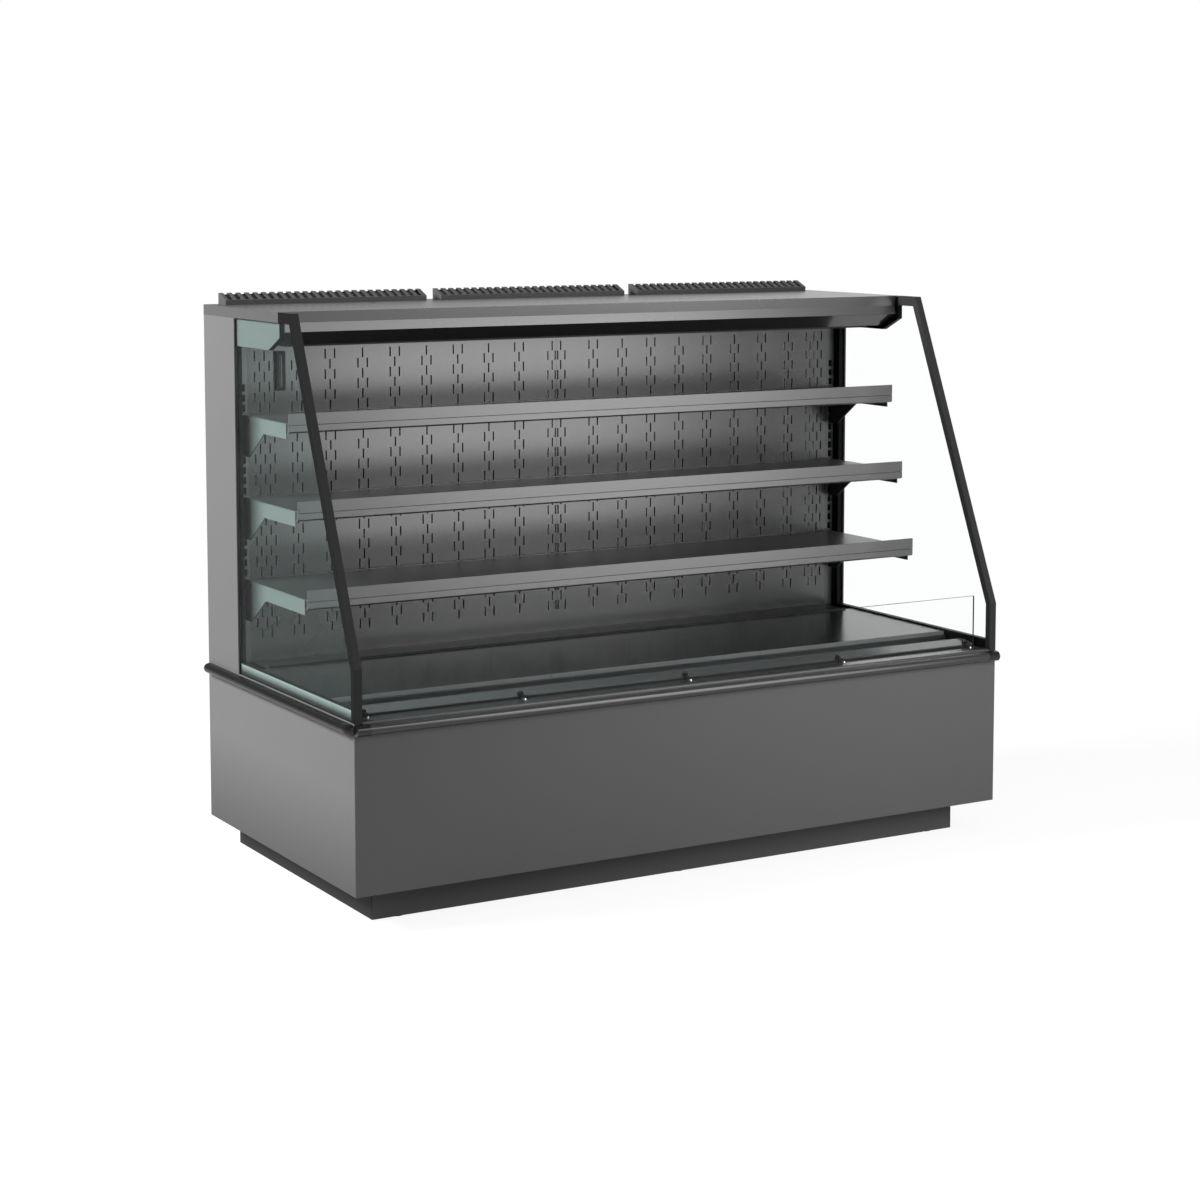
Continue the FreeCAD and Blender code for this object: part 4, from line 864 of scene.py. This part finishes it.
blades = {
    "length": 386.0, "width": 11.0, "thickness": 0.8, "curl": 18.0, "tilt": 0.9,
    "pitch": 16.0, "rows": 9, "aside": 450.0, "behind": 6.5,
}
bladePoints = []
switchLow, switchHigh = nodeBox("main_switch")
middle = (switchLow.z + switchHigh.z) / 2
for side in (-1, 1):
    for row in range(blades["rows"]):
        z = middle + (row - (blades["rows"] - 1) / 2) * blades["pitch"] * mm
        y = nodeBox("rear_service_panel")[1].y - blades["behind"] * mm
        bladePoints.append(((side * blades["aside"] * mm, y, z), (0, 0, 1)))
spreadPiece("louvreBlades", bladeTree, bladePoints, {
    "Length": blades["length"] * mm, "Width": blades["width"] * mm,
    "Thickness": blades["thickness"] * mm, "Curl": blades["curl"], "Tilt": blades["tilt"],
}, "cabinet")
print("spread:", len(screwPoints), "panel screws,", len(clipPoints), "clip screws,",
      len(bladePoints), "blades")


# Trim that stands proud of the solids

def slab(pieceName, boxes, radius, finishName, steps=2):
    shape = bmesh.new()
    for low, high in boxes:
        size = Vector(high) - Vector(low)
        made = bmesh.ops.create_cube(shape, size=1.0)["verts"]
        bmesh.ops.scale(shape, vec=size, verts=made)
        bmesh.ops.translate(shape, vec=(Vector(low) + Vector(high)) / 2, verts=made)
    mesh = bpy.data.meshes.new(pieceName)
    shape.to_mesh(mesh)
    shape.free()
    for face in mesh.polygons:
        face.use_smooth = True
    mesh.materials.append(finishes[finishName])
    piece = linkObject(pieceName, mesh)
    roundEdges(piece, radius, steps)
    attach(piece, "cabinet")


gasket = {"width": 9.0, "proud": 0.7, "bedded": 0.2, "short": 1.0, "radius": 0.3}
columnLow, columnHigh = nodeBox("column_side_right")
gasketBoxes = []
for side in (-1, 1):
    inner = side * (columnHigh.x - gasket["bedded"] * mm)
    outer = side * (columnHigh.x + gasket["proud"] * mm)
    front = columnLow.y - gasket["width"] / 2 * mm
    back = front + gasket["width"] * mm
    gasketBoxes.append((
        (min(inner, outer), front, columnLow.z + gasket["short"] * mm),
        (max(inner, outer), back, columnHigh.z - gasket["short"] * mm),
    ))
slab("gasketLips", gasketBoxes, gasket["radius"] * mm, "plastic")

grooveSeal = {"thick": 2.4, "gap": 0.2, "height": 4.5, "bedded": 0.2, "inset": 20.0, "radius": 0.6}
paneLow, paneHigh = nodeBox("front_glass")
sealBack = paneLow.y - grooveSeal["gap"] * mm
sealFront = sealBack - grooveSeal["thick"] * mm
slab("grooveSeal", [(
    (paneLow.x + grooveSeal["inset"] * mm, sealFront, sillTop - grooveSeal["bedded"] * mm),
    (paneHigh.x - grooveSeal["inset"] * mm, sealBack, sillTop + grooveSeal["height"] * mm),
)], grooveSeal["radius"] * mm, "plastic")

# a black strip along the deck's rear edge stands in for the shade of the step there: painted shade
deckShadeStrip = {"thick": 2.2, "gap": 0.5, "height": 4.5, "foot": 7.0, "inset": 4.0, "radius": 0.6}
stripLow, stripHigh = nodeBox("deck_rear_strip")
deckShadeStripFront = nodeBox("deck_pan_centre")[1].y + deckShadeStrip["gap"] * mm
deckShadeStripBack = deckShadeStripFront + deckShadeStrip["thick"] * mm
slab("deckShadeStrip", [(
    (stripLow.x + deckShadeStrip["inset"] * mm, deckShadeStripFront, stripHigh.z - deckShadeStrip["foot"] * mm),
    (stripHigh.x - deckShadeStrip["inset"] * mm, deckShadeStripBack, stripHigh.z + deckShadeStrip["height"] * mm),
)], deckShadeStrip["radius"] * mm, "plastic")

thermometer = {
    "plateGap": 0.3, "plateThick": 0.6, "plateRound": 0.2, "border": 8.0, "recess": 3.0,
    "tubeRadius": 1.4, "tubeRound": 1.35, "tubeSteps": 4, "tubeInset": 2.4, "tubeShort": 4.0,
    "ticks": 25, "tickInset": 2.2, "tickMargin": 4.0,
    "tickLength": 1.8, "tickWidth": 0.35, "tickHeight": 0.15,
}
thermoLow, thermoHigh = nodeBox("thermometer")
border = (thermometer["border"] + thermometer["plateGap"]) * mm
recessY = thermoLow.y + thermometer["recess"] * mm
plateLow = Vector((thermoLow.x + border, recessY - thermometer["plateThick"] * mm, thermoLow.z + border))
plateHigh = Vector((thermoHigh.x - border, recessY, thermoHigh.z - border))
slab("scalePlate", [(plateLow, plateHigh)], thermometer["plateRound"] * mm, "scale")
tubeRadius = thermometer["tubeRadius"] * mm
tubeX = plateHigh.x - thermometer["tubeInset"] * mm
tubeY = plateLow.y - tubeRadius
tubeReach = Vector((tubeRadius, tubeRadius, -thermometer["tubeShort"] * mm))
slab("scaleTube", [(
    (tubeX - tubeReach.x, tubeY - tubeReach.y, plateLow.z - tubeReach.z),
    (tubeX + tubeReach.x, tubeY + tubeReach.y, plateHigh.z + tubeReach.z),
)], thermometer["tubeRound"] * mm, "tube", thermometer["tubeSteps"])
tickMargin = thermometer["tickMargin"] * mm
tickX = plateLow.x + thermometer["tickInset"] * mm
tickStep = (plateHigh.z - plateLow.z - 2 * tickMargin) / (thermometer["ticks"] - 1)
tickPoints = []
for step in range(thermometer["ticks"]):
    tickPoints.append(((tickX, plateLow.y, plateLow.z + tickMargin + step * tickStep), (0, -1, 0)))
spreadPiece("scaleTicks", tickTree, tickPoints, {
    "Length": thermometer["tickLength"] * mm, "Width": thermometer["tickWidth"] * mm,
    "Height": thermometer["tickHeight"] * mm,
}, "plastic")
print("trim: gasket lips, two seals, thermometer scale with", len(tickPoints), "ticks")


channelHeight = 30.0 * mm


def sealPiece():
    # the channels under the side glass and the seals at the columns are one node with two finishes
    mesh = mergedCopy("glass_seals", "glassSeals")
    mesh.materials.append(finishOf["glass_seals"])
    mesh.materials.append(finishes["channel"])
    seat = nodeBox("glass_seals")[0].z
    for face in mesh.polygons:
        if face.center.z < seat + channelHeight:
            face.material_index = 1
    standFor(linkObject("glassSeals", mesh), "glass_seals")


sill = {"radius": 1.6, "steps": 3, "upward": 0.5}


def sillPiece():
    # behind the glass groove the sill has the paler coat of the grille
    mesh = mergedCopy("front_sill", "frontSill")
    mesh.materials.append(finishOf["front_sill"])
    mesh.materials.append(finishes["sillInner"])
    for face in mesh.polygons:
        face.use_smooth = True
        if face.center.y > paneHigh.y and face.normal.z > sill["upward"]:
            face.material_index = 1
    piece = linkObject("frontSill", mesh)
    roundEdges(piece, sill["radius"] * mm, sill["steps"])
    standFor(piece, "front_sill")


sealPiece()
sillPiece()
print("two finishes: seals, sill")


# Studio: pale floor, soft lamps, camera where the photograph was taken

studio = {
    "floorSize": 60.0, "floorTone": 0.95, "floorRough": 0.9, "bounceTone": 0.2,
    "floorLift": 0.9, "floorGloss": 0.6, "liftFrom": 1.6, "liftTo": 4.0,
    "ambient": 0.12, "roomDark": 0.2, "roomSide": (0.85, 0.5, 0.15), "roomBand": (0.76, 0.93),
    "lens": 75.14, "sensor": 36.0, "shiftY": -0.1386,
    "eye": (-3.2991, -5.6216, 1.7188), "look": (0.5007, 0.8602, -0.0970),
}
lamps = {  # place, aim, width, height, watts, seen in reflections, seen through glass
    "leftKey": ((-4.3, 1.3, 3.2), (-0.9, 0.0, 0.7), 2.2, 1.6, 770.0, False, False),
    "frontFill": ((1.4, -5.5, 3.8), (0.0, 0.0, 0.9), 5.0, 3.0, 84.0, True, False),
    "topSoft": ((0.0, -0.6, 6.0), (0.0, 0.0, 1.0), 5.0, 4.0, 130.0, False, False),
    "lipStrip": ((1.13, -2.25, 1.5), (0.0, 0.1, 1.5), 1.48, 2.4, 43.5, True, False),
    "glassStrip": ((1.32, -2.30, 1.4), (0.0, 0.1, 1.4), 1.2, 2.4, 12.0, False, True),
}


def makeFloor():
    size = studio["floorSize"] / 2
    corners = [(-size, -size, 0), (size, -size, 0), (size, size, 0), (-size, size, 0)]
    mesh = bpy.data.meshes.new("studioFloor")
    mesh.from_pydata(corners, [], [(0, 1, 2, 3)])
    material, tree, surface, output = startMaterial("paleFloor")
    surface.inputs["Roughness"].default_value = studio["floorRough"]
    surface.inputs["Specular IOR Level"].default_value = 0.0
    rays = addNode(tree, "ShaderNodeLightPath").outputs
    # a ray that came through glass sees the floor as the camera does
    mirrored = maths(tree, "SUBTRACT", rays["Is Glossy Ray"], rays["Is Transmission Ray"])
    glow = addNode(tree, "ShaderNodeEmission", {
        "Strength": remap(tree, mirrored, 0.0, 1.0, 1.0, studio["floorGloss"]),
    })
    seen = maths(tree, "MAXIMUM", rays["Is Camera Ray"], rays["Is Glossy Ray"])
    seen = maths(tree, "MAXIMUM", seen, rays["Is Transmission Ray"])
    shade = mixColours(tree, seen, grey(studio["bounceTone"]), grey(studio["floorTone"]))
    feed(tree, surface.inputs["Base Color"], shade)
    place = addNode(tree, "ShaderNodeTexCoord").outputs["Object"]
    far = addNode(tree, "ShaderNodeVectorMath", {0: place}, operation="LENGTH").outputs["Value"]
    level = remap(tree, far, studio["liftFrom"], studio["liftTo"], studio["floorLift"], 1.0)
    lift = maths(tree, "MULTIPLY", seen, level)
    blend = addNode(tree, "ShaderNodeMixShader", {0: lift, 1: surface.outputs[0], 2: glow.outputs[0]})
    feed(tree, output.inputs["Surface"], blend.outputs[0])
    mesh.materials.append(material)
    linkObject("studioFloor", mesh)


def makeWorld():
    world = bpy.data.worlds.new("paleStudio")
    bpy.context.scene.world = world
    world.use_nodes = True
    tree = world.node_tree
    tree.nodes.clear()
    rays = addNode(tree, "ShaderNodeLightPath").outputs
    seen = maths(tree, "MAXIMUM", rays["Is Camera Ray"], rays["Is Transmission Ray"])
    # in reflections the room is white to the right and dims to the left
    toward = addNode(tree, "ShaderNodeTexCoord").outputs["Generated"]
    pair = {0: toward, 1: studio["roomSide"]}
    lean = addNode(tree, "ShaderNodeVectorMath", pair, operation="DOT_PRODUCT").outputs["Value"]
    room = remap(tree, lean, *studio["roomBand"], studio["roomDark"], 1.0)
    seen = maths(tree, "MAXIMUM", seen, maths(tree, "MULTIPLY", rays["Is Glossy Ray"], room))
    strength = maths(tree, "MAXIMUM", seen, studio["ambient"])
    light = addNode(tree, "ShaderNodeBackground", {"Strength": strength})
    light.inputs["Color"].default_value = grey(1.0)
    addNode(tree, "ShaderNodeOutputWorld", {"Surface": light.outputs[0]})


def makeLamp(name, place, aim, width, height, watts, mirrored, throughGlass):
    light = bpy.data.lights.new(name, "AREA")
    light.shape = "RECTANGLE"
    light.size = width
    light.size_y = height
    light.energy = watts
    lamp = bpy.data.objects.new(name, light)
    lamp.location = place
    lamp.rotation_mode = "QUATERNION"
    lamp.rotation_quaternion = (Vector(aim) - Vector(place)).to_track_quat("-Z", "Y")
    lamp.visible_camera = False
    lamp.visible_glossy = mirrored
    lamp.visible_transmission = throughGlass
    bpy.context.scene.collection.objects.link(lamp)


def makeCamera():
    lens = bpy.data.cameras.new("photoCamera")
    lens.lens = studio["lens"]
    lens.sensor_width = studio["sensor"]
    lens.shift_y = studio["shiftY"]
    camera = bpy.data.objects.new("photoCamera", lens)
    camera.location = studio["eye"]
    camera.rotation_mode = "QUATERNION"
    camera.rotation_quaternion = Vector(studio["look"]).to_track_quat("-Z", "Y")
    bpy.context.scene.collection.objects.link(camera)
    bpy.context.scene.camera = camera


makeFloor()
makeWorld()
for lampName, settings in lamps.items():
    makeLamp(lampName, *settings)
makeCamera()
bpy.context.scene.view_settings.view_transform = "Standard"
print("studio:", len(lamps), "lamps")
